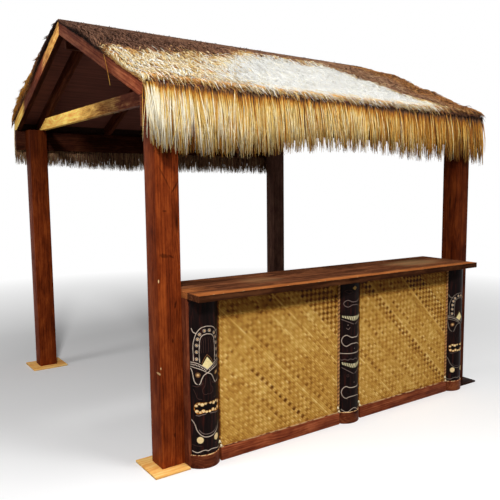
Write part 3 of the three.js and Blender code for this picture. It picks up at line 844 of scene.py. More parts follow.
# The straw is painted darker towards both ends, most towards the right, as painted shade.
STRAW_STEPS = ((0.05, -0.9, -0.4), (-0.29, 0.75, 1.2))
HIGHLIGHT_TONE = 1.25
LIP_CREAM = 0.34
LIP_CREAM_UP = (0.17, 0.08)
REAR_TONE = 0.2
REAR_PALER = 0.42
LEAST_WEATHER = 0.35
WEATHER_STEPS = ((-0.8, 0.95, 1.3),)


def stepped(base, steps, x):
    """A base with what each step adds."""
    for amount, start, end in steps:
        base = base + amount * smoothstep(x, start, end)
    return base


def rippled(base, x, down, height, seed, size):
    return base + height * ripple(x, down, seed, size)


def painted_highlight(x, down):
    """How much the front slope's straw is painted near white as a painted highlight, from 0 to 1."""
    left = read_off(down, HIGHLIGHT_LEFT_SHARES, STRAW_LENGTH, GABLE_X)
    right = read_off(down, HIGHLIGHT_RIGHT_SHARES, STRAW_LENGTH, GABLE_X)
    top = read_off(x, HIGHLIGHT_TOP_SHARES, GABLE_X, STRAW_LENGTH)
    from_left = x - rippled(left, x, down, *HIGHLIGHT_LEFT_RIPPLE)
    from_right = rippled(right, x, down, *HIGHLIGHT_RIGHT_RIPPLE) - x
    inside = smoothstep(from_left, *HIGHLIGHT_LEFT_SOFT) * smoothstep(from_right, *HIGHLIGHT_RIGHT_SOFT)
    return inside * smoothstep(down - top, *HIGHLIGHT_TOP_SOFT)


def paleness(side, x, down):
    """Where the straw is pale, from 0 near the ridge to 1."""
    if side == "rear":
        return smoothstep(rippled(down, x, down, *REAR_EDGE_RIPPLE), *REAR_PALE)
    edge = read_off(x, BROWN_EDGE_SHARES, GABLE_X, STRAW_LENGTH)
    return smoothstep(rippled(down, x, down, *BROWN_EDGE_RIPPLE) - edge, *BROWN_EDGE_SOFT)


def weathering(side, x, down):
    """How grey the brown straw has turned."""
    brown = (1 - paleness(side, x, down)) * stepped(1, WEATHER_STEPS, x)
    return np.maximum(brown, LEAST_WEATHER) if side == "front" else brown


def straw_tone(side, x, down):
    """How light the straw is: weathered brown near the ridge, partly painted shade, straw below, a painted
    highlight mid-slope.
    """
    pale = paleness(side, x, down)
    if side == "rear":
        return rippled(REAR_TONE + REAR_PALER * pale, x, down, *REAR_TONE_RIPPLE)
    warmth = stepped(WARMTH, WARMER, x)
    straw = stepped(STRAW_LEVEL, STRAW_STEPS, x)
    tone = rippled(warmth + (straw - warmth) * pale, x, down, *FRONT_TONE_RIPPLE)
    lip_start, lip_end = [STRAW_LENGTH - up for up in LIP_CREAM_UP]
    cream = LIP_CREAM * smoothstep(down, lip_start, lip_end)
    return tone + (HIGHLIGHT_TONE - cream - tone) * painted_highlight(x, down)


# The bed of matted straw under the blades of each course; the lowest stops short of the eave
BED_COLUMNS = 72
BED_ROWS = 14
BED_DEPTH = 5 * MM
BED_LIFT = 0.5 * MM
# The bed is painted darker than the blades above it, as painted shade.
BED_SHADE = 0.3
BED_TONE = 0.2
BED_RETREAT = 46 * MM


def straw_bed(side, start, end):
    """The closed bed of matted straw under the blades of one course."""
    x, down = np.meshgrid(np.linspace(-GABLE_X, GABLE_X, BED_COLUMNS), np.linspace(start, end, BED_ROWS),
                          indexing="ij")
    top = on_slope(side, x, down, straw_height(side, x, down) - BED_DEPTH)
    under = on_slope(side, x, down, BED_LIFT)
    index = np.arange(x.size).reshape(x.shape)
    upper = grid_faces(index)
    lower = upper[:, ::-1] + index.size
    rim = np.concatenate([index[0, :-1], index[:-1, -1], index[-1, :0:-1], index[:0:-1, 0]])
    after = np.roll(rim, -1)
    wall = np.stack([rim, after, after + index.size, rim + index.size], -1)
    faces = np.concatenate([upper, lower, wall])
    if side == "front":
        faces = faces[:, ::-1]
    points = np.concatenate([top.reshape(-1, 3), under.reshape(-1, 3)])
    tone = np.maximum(straw_tone(side, x, down) - BED_SHADE, BED_TONE)
    values = {"tone": np.tile(tone.ravel(), 2), "along": points[:, 1], "strand": points[:, 0],
              "weather": np.tile(weathering(side, x, down).ravel(), 2)}
    return points, faces, np.zeros((0, 3), int), values


# Blades on the slopes: how many, lengths in metres, widths and the lift of their middles in millimetres, and
# how deep in the straw's height they may be sunk
BLADES_PER_COURSE = (4900, 5600, 5600)
COURSE_BLADES = {"length": (0.06, 0.13), "width": (4.5, 9.5), "lift": (2.0, 15.0), "sunk": 0.0}
LIP_BLADES = {"count": 2600, "length": (0.1, 0.165), "width": (4.0, 7.5), "lift": (0.0, 4.0), "sunk": 0.9}
EDGE_BLADES = {"count": 620, "length": (0.04, 0.1), "width": (4.0, 8.0), "lift": (0.0, 7.0), "sunk": 0.85}
RIDGE_BLADES = {"count": 1500, "length": (0.09, 0.17), "width": (3.5, 7.0), "lift": (0.0, 3.0), "sunk": 0.5}
BLADE_MARGIN = 4 * MM
BLADE_TAPER = (0.8, 1.0, 0.85, 0.3)
BLADE_SHADING = (-0.12, -0.02, 0.03, 0.06)
BLADE_BOW = 0.8
BLADE_ROOT_DEPTH = 4 * MM
YAW_SPREAD = 11
YAW_DRIFT = 0.16
WILD_SHARE = 0.05
WILD_YAW = 0.9
WILD_LIFT = 1.7
ROLL_SPREAD = 0.35
EDGE_BAND = 40
EDGE_YAWS = (0.1, 0.9)
EDGE_REACH = {"front": 7 * MM, "rear": 13 * MM}
EAVE_ROUND = 20 * MM
EAVE_FALL = 0.5
GABLE_FALL = 1.3

# How calmly blades lie: less lifted under the painted highlight, at the rear, near the ridge and where sunk
HIGHLIGHT_CALM = 0.75
REAR_CALM = 0.6
RIDGE_CALM = 0.35
RIDGE_CALM_REACH = (0.1, 0.5)
SUNK_CALM = 0.8

# How blades' tones differ: in all, less where they are dark; sunk blades are painted darker as painted
# shade, and some lie in the shade of others
JUDGED_SPREAD = 0.05
TONE_SPREAD = 0.09
TONE_SPREAD_LEVELS = ((0.3, 0.45), (0.6, 1.0))
BLADE_TONE_RANGE = (0.02, 1.0)
SUNK_SHADE = 0.45
SHADED_SHARE = 0.12
SHADED_DARKER = 0.18


def slope_straws(side, start, end, seed, count, length, width, lift, sunk, edge=None):
    """Blades that lie down the slope, their roots spread between two distances from the ridge."""
    scatter = np.random.default_rng(seed)
    x = scatter.uniform(-GABLE_X + BLADE_MARGIN, GABLE_X - BLADE_MARGIN, count)
    root = scatter.uniform(start, end, count)
    reach = scatter.uniform(*length, count)
    yaw = np.radians(scatter.normal(0, YAW_SPREAD, count))
    yaw = rippled(yaw, x, root, YAW_DRIFT, seed + 1, YAW_RIPPLE_SIZE)
    wild = scatter.random(count) < WILD_SHARE
    yaw = np.where(wild, scatter.uniform(-WILD_YAW, WILD_YAW, count), yaw)
    if edge:
        x = edge * (GABLE_X - scatter.uniform(0, EDGE_BAND, count) * MM)
        yaw = edge * scatter.uniform(*EDGE_YAWS, count)
    calm = 1 - HIGHLIGHT_CALM * painted_highlight(x, root) if side == "front" else np.full(count, REAR_CALM)
    calm *= RIDGE_CALM + (1 - RIDGE_CALM) * smoothstep(root, *RIDGE_CALM_REACH)
    if sunk:
        calm = np.maximum(calm, SUNK_CALM)
    raised = scatter.uniform(*lift, count) * MM * np.where(wild, WILD_LIFT, 1.0) * calm
    buried = scatter.uniform(0, sunk, count)
    steps = np.linspace(0, 1, len(BLADE_TAPER))
    path_x = x[:, None] + reach[:, None] * np.sin(yaw)[:, None] * steps
    path_x = np.clip(path_x, -GABLE_X - EDGE_REACH[side], GABLE_X + EDGE_REACH[side])
    path_down = root[:, None] + reach[:, None] * np.cos(yaw)[:, None] * steps
    bow = np.sin(math.pi * steps * BLADE_BOW)
    base = straw_height(side, path_x, np.minimum(path_down, STRAW_LENGTH)) * (1 - buried[:, None])
    overhang = np.maximum(0, path_down - STRAW_LENGTH + EAVE_ROUND)
    over_gable = np.maximum(0, np.abs(path_x) - GABLE_X)
    height = base - BLADE_ROOT_DEPTH + raised[:, None] * bow - EAVE_FALL * overhang - GABLE_FALL * over_gable
    paths = on_slope(side, path_x, path_down, height)
    widths = scatter.uniform(*width, count)[:, None] * MM * np.array(BLADE_TAPER)
    roll = scatter.normal(0, ROLL_SPREAD, count) * calm
    side_y = TOWARDS[side] * -np.sin(yaw) * SLOPE_COSINE
    side_way = np.stack([np.cos(yaw) * np.cos(roll), side_y, np.sin(roll)], -1)
    side_way *= -TOWARDS[side] / np.linalg.norm(side_way, axis=1, keepdims=True)
    judged = root + reach / 2 + scatter.normal(0, JUDGED_SPREAD, count)
    tone = straw_tone(side, x, judged) - SUNK_SHADE * buried
    tone += scatter.normal(0, TONE_SPREAD, count) * read_off(tone, TONE_SPREAD_LEVELS)
    tone = np.where(scatter.random(count) < SHADED_SHARE, tone - SHADED_DARKER * calm, tone)
    tones = np.clip(tone[:, None] + np.array(BLADE_SHADING), *BLADE_TONE_RANGE)
    return blades(paths, side_way[:, None, :], widths, tones, weather=weathering(side, x, judged))


# Where roots lie, in metres along the slope: how far a course laps the one above, and how far roots stay
# from its end, where the lowest course has a lip of its own
COURSE_LAP = 0.1
ROOT_RETREAT = 0.08
LOWEST_ROOT_RETREAT = 0.12
LIP_ROOTS = (0.19, 0.125)
EDGE_ROOT_RETREAT = 0.05
FIRST_STRAW = 2 * MM
THATCH_SEEDS = {"front": 100, "rear": 200}
LIP_SEEDS = 10
EDGE_SEEDS = 20
RIDGE_SEEDS = {"front": 300, "rear": 301}
RIDGE_TOP_SEED = 310
TUFT_SEED = 350
FRINGE_SEEDS = {"front": 400, "rear": 500}


def thatch():
    exposure = STRAW_LENGTH / COURSES
    for side, seed in THATCH_SEEDS.items():
        for course in range(COURSES):
            lowest = course == 0
            end = STRAW_LENGTH - course * exposure
            start = max(end - exposure, FIRST_STRAW)
            lap = COURSE_LAP * (start > exposure / 2)
            parts = [straw_bed(side, start, end - BED_RETREAT if lowest else end),
                     slope_straws(side, start - lap, end - (LOWEST_ROOT_RETREAT if lowest else ROOT_RETREAT),
                                  seed + course, BLADES_PER_COURSE[course], **COURSE_BLADES)]
            if lowest:
                lip_start, lip_end = [end - up for up in LIP_ROOTS]
                parts.append(slope_straws(side, lip_start, lip_end, seed + LIP_SEEDS, **LIP_BLADES))
            for edge in (-1, 1):
                parts.append(slope_straws(side, start, end - EDGE_ROOT_RETREAT, seed + EDGE_SEEDS + course,
                                          edge=edge, **EDGE_BLADES))
            name = f"thatch_{side}_course_{course + 1}"
            straw_piece(name + "_straw", parts, replaced=[name])


# Straw that lies over the ridge: roots of the finer straw on both slopes, then the blades across
RIDGE_ROOTS = (-0.01, 0.1)
RIDGE_COUNT = 1300
RIDGE_REACHES = (0.05, 0.12)
RIDGE_SLANT = 0.3
RIDGE_CROWNS = (1, 8)
RIDGE_WIDTHS = (4, 8)
RIDGE_TAPER = (0.3, 0.8, 1.0, 1.0, 1.0, 0.8, 0.3)
RIDGE_ROUND = 0.03
RIDGE_SAG = 10 * MM
RIDGE_SAG_REACH = (0.1, 1.1)
RIDGE_OVERHANG = 5 * MM
RIDGE_TONE_DOWN = 0.05
RIDGE_TONE_SPREAD = 0.05


def ridge_straw():
    """Finer straw laid over the ridge and down both slopes."""
    parts = [slope_straws(side, *RIDGE_ROOTS, seed, **RIDGE_BLADES) for side, seed in RIDGE_SEEDS.items()]
    scatter = np.random.default_rng(RIDGE_TOP_SEED)
    x = scatter.uniform(-GABLE_X, GABLE_X, RIDGE_COUNT)
    reach = scatter.uniform(*RIDGE_REACHES, RIDGE_COUNT)
    slant = scatter.normal(0, RIDGE_SLANT, RIDGE_COUNT)
    run = reach[:, None] * np.linspace(-1, 1, len(RIDGE_TAPER))
    sag = RIDGE_SAG * smoothstep(x, *RIDGE_SAG_REACH)
    crown = (scatter.uniform(*RIDGE_CROWNS, RIDGE_COUNT) * MM - sag)[:, None]
    drop = np.abs(run) * ROOF_PITCH_SHARE * smoothstep(np.abs(run), 0.0, RIDGE_ROUND)
    path_x = np.clip(x[:, None] + slant[:, None] * run, -GABLE_X - RIDGE_OVERHANG, GABLE_X + RIDGE_OVERHANG)
    paths = np.stack([path_x, RIDGE_Y + run, APEX_Z + crown - drop], -1)
    widths = scatter.uniform(*RIDGE_WIDTHS, RIDGE_COUNT)[:, None] * MM * np.array(RIDGE_TAPER)
    tone = straw_tone("front", x, RIDGE_TONE_DOWN + 0 * x)
    tone += scatter.normal(0, RIDGE_TONE_SPREAD, RIDGE_COUNT)
    tones = np.clip(np.repeat(tone[:, None], len(RIDGE_TAPER), 1), *BLADE_TONE_RANGE)
    parts.append(blades(paths, np.array([-1.0, 0.0, 0.0]), widths, tones, weather=1.0))
    straw_piece("thatch_ridge_straw", parts, replaced=["thatch_ridge_cap"])


# Tufts at the left gable: places down the rear slope, blades in each, then millimetres, and turns in radians
TUFT_SHARES = (0.03, 0.15, 0.36, 0.6, 0.7, 0.8, 0.9)
TUFT_BLADES = 14
TUFT_SPREAD = 12
TUFT_REACHES = (34, 58)
TUFT_SWINGS = (0.35, 0.95)
TUFT_WIDTHS = (4, 7)
TUFT_TAPER = (1.0, 1.0, 0.7, 0.2)
TUFT_SUNK = 8
TUFT_FALL = 14
TUFT_ROOT_INSET = 4 * MM
TUFT_FELT_INSET = 30 * MM
TUFT_TONE_SPREAD = 0.08
TUFT_TONE_RANGE = (0.05, 0.9)
TUFT_WEATHER = 0.3


def gable_tufts():
    """Small fans of straw that stick out over the rear slope's left edge."""
    scatter = np.random.default_rng(TUFT_SEED)
    down = np.repeat([share * STRAW_LENGTH for share in TUFT_SHARES], TUFT_BLADES)
    count = len(down)
    down = down + scatter.normal(0, TUFT_SPREAD, count) * MM
    steps = np.linspace(0, 1, len(TUFT_TAPER))
    reach = scatter.uniform(*TUFT_REACHES, count) * MM
    swing = scatter.uniform(*TUFT_SWINGS, count)
    x = -GABLE_X + TUFT_ROOT_INSET - (reach * np.sin(swing))[:, None] * steps
    path_down = down[:, None] + (reach * np.cos(swing))[:, None] * steps
    felt = straw_height("rear", -GABLE_X + TUFT_FELT_INSET + 0 * x, path_down)
    paths = on_slope("rear", x, path_down, felt - (TUFT_SUNK + TUFT_FALL * steps) * MM)
    widths = scatter.uniform(*TUFT_WIDTHS, count)[:, None] * MM * np.array(TUFT_TAPER)
    tone = straw_tone("rear", x[:, 0], down) + scatter.normal(0, TUFT_TONE_SPREAD, count)
    tones = np.clip(np.repeat(tone[:, None], len(TUFT_TAPER), 1), *TUFT_TONE_RANGE)
    part = blades(paths, np.array([0.0, -SLOPE_COSINE, SLOPE_SINE]), widths, tones, weather=TUFT_WEATHER)
    straw_piece("thatch_gable_tufts", [part])


# Fringes: layers from the strip outwards, off it and flared in millimetres
FRINGE_LAYERS = (
    {"off": 3.0, "flare": 4.0, "count": 620, "tone": -0.34, "shortest_share": 0.84},
    {"off": 7.0, "flare": 8.0, "count": 620, "tone": -0.17, "shortest_share": 0.8},
    {"off": 11.0, "flare": 14.0, "count": 640, "tone": -0.04, "shortest_share": 0.74},
    {"off": 15.0, "flare": 22.0, "count": 640, "tone": 0.04, "shortest_share": 0.66},
    {"off": 19.0, "flare": 30.0, "count": 380, "tone": 0.1, "shortest_share": 0.56},
)

# Longest strands, in metres, at shares of half the eave
FRINGE_LENGTHS = {
    "front": ((-1.0, 0.32), (-0.92, 0.375), (-0.8, 0.39), (-0.55, 0.385), (-0.36, 0.35), (-0.1, 0.325),
              (0.15, 0.325), (0.34, 0.35), (0.52, 0.37), (0.76, 0.355), (0.98, 0.385)),
    "rear": ((-1.0, 0.355), (-0.7, 0.38), (-0.3, 0.405), (1.0, 0.415)),
}
FRINGE_DENSITY = {"front": 1.0, "rear": 1.8}
FRINGE_STEP_SHARES = (0.0, 0.05, 0.13, 0.3, 0.65, 1.0)
FRINGE_TAPER = (0.9, 1.0, 1.0, 0.95, 0.8, 0.3)
FRINGE_WIDTHS = (4.5, 9.0)
FRINGE_SHADING = {
    "front": (-0.6, -0.5, -0.24, -0.02, 0.03, 0.05),
    "rear": (-0.2, -0.12, -0.04, 0.0, 0.02, 0.06),
}
FRINGE_REACH = {"front": 14 * MM, "rear": 2 * MM}
FRINGE_LEAN = {"front": 0.03, "rear": 0.0}
FRINGE_WEATHER = {"front": 0.0, "rear": 0.9}
FRINGE_TONE = {"front": 0.7, "rear": 0.72}
FRINGE_STEPS = {"front": ((-0.18, -1.36, -1.1), (-0.25, -0.5, 1.2)), "rear": ((-0.08, -1.36, -1.2),)}
FRINGE_RIPPLES = {"front": (0.05, 32, 0.35), "rear": (0.06, 31, 0.4)}
FRINGE_CREAM = {"front": 0.18, "rear": 0.08}
FRINGE_TONE_SPREAD = 0.12
FRINGE_DARKEST = 0.03
FRINGE_PALEST = 0.9
FRINGE_PALEST_STEPS = ((-0.1, -1.2, -0.6),)
FRINGE_MARGIN = 5 * MM
FRINGE_SCATTER = 3 * MM
FRINGE_BEND = 4 * MM
FRINGE_SINK = 4 * MM
FRINGE_FOLD = 0.35
FRINGE_STRIP_HEIGHT = 90 * MM
FRINGE_STRIP_DEPTH = 3 * MM
STRIP_VALUES = {"tone": 0.1, "along": 0.0, "strand": 0.0, "weather": 1.0}

# Tufts of the fringes: their widths in millimetres, and how much shorter strands are between two of them
FRINGE_TUFT_WIDTHS = (45, 125)
FRINGE_TUFT_COUNT = 60
FRINGE_TUFT_DEPTHS = (0.04, 0.34)
FRINGE_TUFT_PULL = 0.4
FRINGE_TUFT_START = 0.1
REAR_GAP = 0.25
FRONT_GAP = 0.4
FRONT_GAP_STEPS = ((0.6, -0.7, 0.3),)

# How strands lean and swing outwards
FRINGE_CLUMPS = (0.05, 0.22)
FRINGE_LEAN_SPREAD = 0.035
WILD_LEANS = (0.05, 0.2)
LEAN_POWER = 1.2
FLARES = (0.3, 1.3)
FLARE_BOW = 0.62
FRINGE_ROLL_SPREAD = 0.5


def fringe_tone(side, x):
    """How light the strands are: cream at the left end, golden to the right of the front."""
    base = FRINGE_TONE[side] + FRINGE_CREAM[side]
    return rippled(stepped(base, FRINGE_STEPS[side], x), x, 0 * x, *FRINGE_RIPPLES[side])


def tufts(x, seed, gap):
    """How far each strand leans to its tuft's middle, and its share of the full length, less at gaps."""
    scatter = np.random.default_rng(seed)
    widths = scatter.uniform(*FRINGE_TUFT_WIDTHS, FRINGE_TUFT_COUNT) * MM
    edges = np.cumsum(widths) - GABLE_X - FRINGE_TUFT_START
    depths = scatter.uniform(*FRINGE_TUFT_DEPTHS, FRINGE_TUFT_COUNT + 1)
    place = np.searchsorted(edges, x)
    middle = (edges[place - 1] + edges[place]) / 2
    half = (edges[place] - edges[place - 1]) / 2
    away = np.abs(x - middle) / half
    depth = np.where(x > middle, depths[place], depths[place - 1])
    return FRINGE_TUFT_PULL * gap * (middle - x), 1 - gap * depth * away ** 4


def fringe(side, seed):
    """Strands that hang from the eave in layers, from a dark strip."""
    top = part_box(f"thatch_fringe_{side}")[1].z
    scatter = np.random.default_rng(seed)
    eave_y = RIDGE_Y + TOWARDS[side] * EAVE_RUN
    steps = np.array(FRINGE_STEP_SHARES)
    parts = []
    for layer in FRINGE_LAYERS:
        count = int(layer["count"] * FRINGE_DENSITY[side])
        x = np.linspace(-GABLE_X + FRINGE_MARGIN, GABLE_X - FRINGE_MARGIN, count)
        x = x + scatter.normal(0, FRINGE_SCATTER, count)
        gap = stepped(FRONT_GAP, FRONT_GAP_STEPS, x) if side == "front" else REAR_GAP
        pull, full = tufts(x, seed + 3, gap)
        longest = read_off(x, FRINGE_LENGTHS[side], GABLE_X) * full
        length = longest * scatter.uniform(layer["shortest_share"], 1.0, count)
        clump_lean, clump_size = FRINGE_CLUMPS
        clump = clump_lean * ripple(x, 0 * x, seed + 2, clump_size) + FRINGE_LEAN[side]
        lean = clump + pull / length + scatter.normal(0, FRINGE_LEAN_SPREAD, count)
        wild = scatter.random(count) < WILD_SHARE
        lean = np.where(wild, scatter.normal(*WILD_LEANS, count), lean)
        bend = scatter.normal(0, FRINGE_BEND, count)[:, None] * np.sin(math.pi * steps)
        path_x = x[:, None] + length[:, None] * lean[:, None] * steps ** LEAN_POWER + bend
        path_x = np.clip(path_x, -GABLE_X - FRINGE_REACH[side], GABLE_X + FRINGE_REACH[side])
        flare = layer["flare"] * MM * scatter.uniform(*FLARES, count)
        out = layer["off"] * MM + flare[:, None] * np.sin(math.pi * FLARE_BOW * steps)
        path_z = top - FRINGE_SINK - length[:, None] * steps
        paths = np.stack(np.broadcast_arrays(path_x, eave_y + TOWARDS[side] * out, path_z), -1)
        widths = scatter.uniform(*FRINGE_WIDTHS, count)[:, None] * MM * np.array(FRINGE_TAPER)
        roll = scatter.normal(0, FRINGE_ROLL_SPREAD, count)
        sides = TOWARDS[side] * np.stack([np.cos(roll), np.sin(roll), 0 * roll], -1)
        tone = fringe_tone(side, x) + layer["tone"] + scatter.normal(0, FRINGE_TONE_SPREAD, count)
        palest = stepped(FRINGE_PALEST, FRINGE_PALEST_STEPS, x)
        tones = np.clip(tone[:, None] + np.array(FRINGE_SHADING[side]), FRINGE_DARKEST, palest[:, None])
        parts.append(blades(paths, sides[:, None, :], widths, tones, FRINGE_FOLD, FRINGE_WEATHER[side]))
    name = f"thatch_fringe_{side}"
    straw_piece(name + "_straw", parts, replaced=[name])
    half = GABLE_X - EASED_EDGE
    strip = box_mesh(name + "_strip", (-half, eave_y + TOWARDS[side] * WELD, top - FRINGE_STRIP_HEIGHT),
                     (half, eave_y + TOWARDS[side] * FRINGE_STRIP_DEPTH, top))
    for key, level in STRIP_VALUES.items():
        numbers(strip, key, np.full(len(strip.vertices), level))
    piece(name + "_strip", strip, STRAW)


def box_mesh(name, low, high):
    mesh = bpy.data.meshes.new(name)
    shape = bmesh.new()
    bmesh.ops.create_cube(shape, size=1.0)
    for vertex in shape.verts:
        vertex.co = [(a + b) / 2 + share * abs(b - a) for a, b, share in zip(low, high, vertex.co)]
    shape.to_mesh(mesh)
    shape.free()
    return mesh


# Woven mats: pairs of strips run both ways at 45 degrees, over one pair and under the next. A place in the
# weave is counted in strips from the hut's middle on the floor, first across the strips that fall to the
# right, then across those that rise. The rows that the tables name are counted the same way.
STRIP = 12.2 * MM
STRIP_SHARES = (0.0, 0.12, 0.5, 0.88)
STRIP_CROWN = (0.1, 0.74, 1.0, 0.74)
STRIP_SHADING = (-0.16, -0.04, 0.16, -0.04)
STRIP_RISE = 2.0 * MM
MAT_BED = 2.4 * MM
LONG_FLOAT = 14
DIP_STARTS = ((0.0, 0.3), (0.12, 0.72), (0.5, 1.0))
DIP_ENDS = ((0.5, 1.0), (0.88, 0.72))

# How dark rising pairs are where they lie on top, in which rows of each mat, and how far from its left edge
# the rows start
ROW_DARKNESS = {"faint": 0.09, "dense": 0.27, "medium": 0.16, "spots": 0.32}
WEAVES = {
    "left": {
        "seed": 71,
        "faint": (-34, -28, -12, -8, 2, 8, 18, 24),
        "dense": ((30, 46), (54, 70)),
        "medium": (-24, -2),
        "spots": (-16,),
        "long": (-5, 11, 19, 25),
        "clear": 0.3,
    },
    "right": {
        "seed": 72,
        "faint": (24, 28, 40, 52, 56, 60, 76, 82),
        "dense": ((62, 66), (86, 97)),
        "medium": (34, 48, 70),
        "spots": (),
        "long": (31, 45, 66, 80, 85),
        "clear": 0.0,
    },
}
CLEAR_DARKNESS = 0.2
CLEAR_START = 0.4
SPLIT_DARKNESS = 0.25
SPLIT_HEIGHT_SHARE = 0.5
TONE_COUNT = 400
STRIP_SPREAD = 0.05
FLOAT_SPREAD = 0.06
RISING_TONE = 0.54
FALLING_TONE = 0.66
LONG_PALER = 0.03
# Painted shade where a strip dips under its neighbours.
DIP_SHADE = 0.2
DIP_SHADE_BELOW = 0.7
# Painted shadow of the column on each mat's left edge.
LEFT_EDGE_SHADOW = 0.5
LEFT_EDGE_SHADOW_REACH = (6 * MM, 18 * MM)
# Painted shadow of the counter's overhanging top on each mat's upper part.
MAT_TOP_SHADOW = 0.24
MAT_TOP_SHADOW_REACH = (200 * MM, 60 * MM)
RISING_FIBRE_OFFSET = 3.0
WEAVE_ANGLE = math.radians(50)


def falling_on_top(side, falling, rising):
    """Where the falling strip lies over the rising one."""
    checked = (falling // 2 + rising // 2) % 2 == 0
    for row in WEAVES[side]["long"]:
        checked = np.where(falling == row, rising % LONG_FLOAT != row % LONG_FLOAT, checked)
    return checked


def dark_spot(side, falling):
    """How dark a rising pair is where it lies on top."""
    dark = np.zeros(falling.shape)
    for kind, level in ROW_DARKNESS.items():
        for row in WEAVES[side][kind]:
            if kind == "dense":
                here = (falling >= row[0]) & (falling < row[1])
            else:
                here = falling // 2 == row // 2
            dark = np.where(here, level, dark)
    return dark


def weave_grid(low, high):
    """At each grid point: the numbers of the falling and the rising strip, and the places across them."""
    half = math.sqrt(0.5)
    first, last, rise_first, rise_last = [math.floor(reach * half / STRIP) for reach in (
        low.x + low.z, high.x + high.z, low.x - high.z, high.x - low.z)]
    falling = np.arange(first, last + 2)
    rising = np.arange(rise_first, rise_last + 2)
    both = (falling, rising)
    strips = np.meshgrid(*[np.repeat(strip, len(STRIP_SHARES)) for strip in both], indexing="ij")
    places = np.meshgrid(*[np.tile(STRIP_SHARES, len(strip)) for strip in both], indexing="ij")
    return *strips, *places


def woven_mat(side):
    name = f"woven_mat_{side}"
    weave = WEAVES[side]
    low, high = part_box(name)
    i, j, place_i, place_j = weave_grid(low, high)
    half = math.sqrt(0.5)
    p = (i + place_i) * STRIP
    q = (j + place_j) * STRIP
    x = np.clip((p + q) * half, low.x, high.x)
    z = np.clip((p - q) * half, low.z, high.z)
    on_top = falling_on_top(side, i, j)
    before = np.where(on_top, falling_on_top(side, i, j - 1), ~falling_on_top(side, i - 1, j))
    after = np.where(on_top, falling_on_top(side, i, j + 1), ~falling_on_top(side, i + 1, j))
    across = np.where(on_top, place_i, place_j)
    along = np.where(on_top, place_j, place_i)
    dip_start = np.where(before, 1.0, read_off(along, DIP_STARTS))
    dip_end = np.where(after, 1.0, read_off(along, DIP_ENDS))
    dip = np.minimum(dip_start, dip_end)
    height = np.interp(across, STRIP_SHARES, STRIP_CROWN) * dip
    clear = weave["clear"]
    shown = CLEAR_DARKNESS + (1 - CLEAR_DARKNESS) * smoothstep(x - low.x, CLEAR_START * clear, clear + WELD)
    dark = dark_spot(side, i) * ~on_top * shown
    height = np.where(dark > SPLIT_DARKNESS, SPLIT_HEIGHT_SHARE * height, height)
    y = high.y - MAT_BED - STRIP_RISE * height
    scatter = np.random.default_rng(weave["seed"])
    strip_tones = scatter.normal(0, STRIP_SPREAD, (2, TONE_COUNT))
    floats = scatter.normal(0, FLOAT_SPREAD, (TONE_COUNT, TONE_COUNT))
    from_i, from_j = i - i.min(), j - j.min()
    rising_tone = RISING_TONE + strip_tones[1][from_j % TONE_COUNT]
    tone = np.where(on_top, FALLING_TONE + strip_tones[0][from_i % TONE_COUNT], rising_tone)
    tone = tone + floats[from_i % TONE_COUNT, from_j // 2 % TONE_COUNT] - dark
    tone = tone + LONG_PALER * (np.isin(i, weave["long"]) & on_top)
    tone = tone + np.interp(across, STRIP_SHARES, STRIP_SHADING)
    tone = tone - DIP_SHADE * (1 - np.clip(dip / DIP_SHADE_BELOW, 0, 1))
    edge_start, edge_end = [low.x + reach for reach in LEFT_EDGE_SHADOW_REACH]
    tone = tone - LEFT_EDGE_SHADOW * (1 - smoothstep(x, edge_start, edge_end))
    top_start, top_end = [high.z - reach for reach in MAT_TOP_SHADOW_REACH]
    tone = tone - MAT_TOP_SHADOW * smoothstep(z, top_start, top_end)
    corners = grid_faces(np.arange(x.size).reshape(x.shape))
    flat_x, flat_z = x.ravel()[corners], z.ravel()[corners]
    wide = (np.ptp(flat_x, axis=1) > WELD) & (np.ptp(flat_z, axis=1) > WELD)
    twice_area = np.abs((flat_x[:, 2] - flat_x[:, 0]) * (flat_z[:, 3] - flat_z[:, 1])
                        - (flat_x[:, 3] - flat_x[:, 1]) * (flat_z[:, 2] - flat_z[:, 0]))
    used, corners = np.unique(corners[wide & (twice_area > WELD * WELD)], return_inverse=True)
    mesh = mesh_of(name + "_weave", grid_points(x, y, z)[used], [corners.reshape(-1, 4)])
    numbers(mesh, "tone", tone.ravel()[used])
    fibre_y = np.where(on_top, p, q + RISING_FIBRE_OFFSET)
    numbers(mesh, "fibre", grid_points(np.where(on_top, q, p), fibre_y, 0 * p)[used], "FLOAT_VECTOR")
    closed_behind(mesh, high.y)
    smooth(mesh, WEAVE_ANGLE)
    piece(name + "_weave", mesh, WOVEN, [name])


def closed_behind(mesh, back_y):
    """Gives an open sheet that faces -Y an edge and a flat back."""
    shape = bmesh.new()
    shape.from_mesh(mesh)
    bmesh.ops.remove_doubles(shape, verts=shape.verts, dist=WELD)
    rim = [edge for edge in shape.edges if edge.is_boundary]
    for item in bmesh.ops.extrude_edge_only(shape, edges=rim)["geom"]:
        if isinstance(item, bmesh.types.BMVert):
            item.co.y = back_y
    bmesh.ops.holes_fill(shape, edges=[edge for edge in shape.edges if edge.is_boundary], sides=0)
    bmesh.ops.recalc_face_normals(shape, faces=shape.faces)
    shape.to_mesh(mesh)
    shape.free()


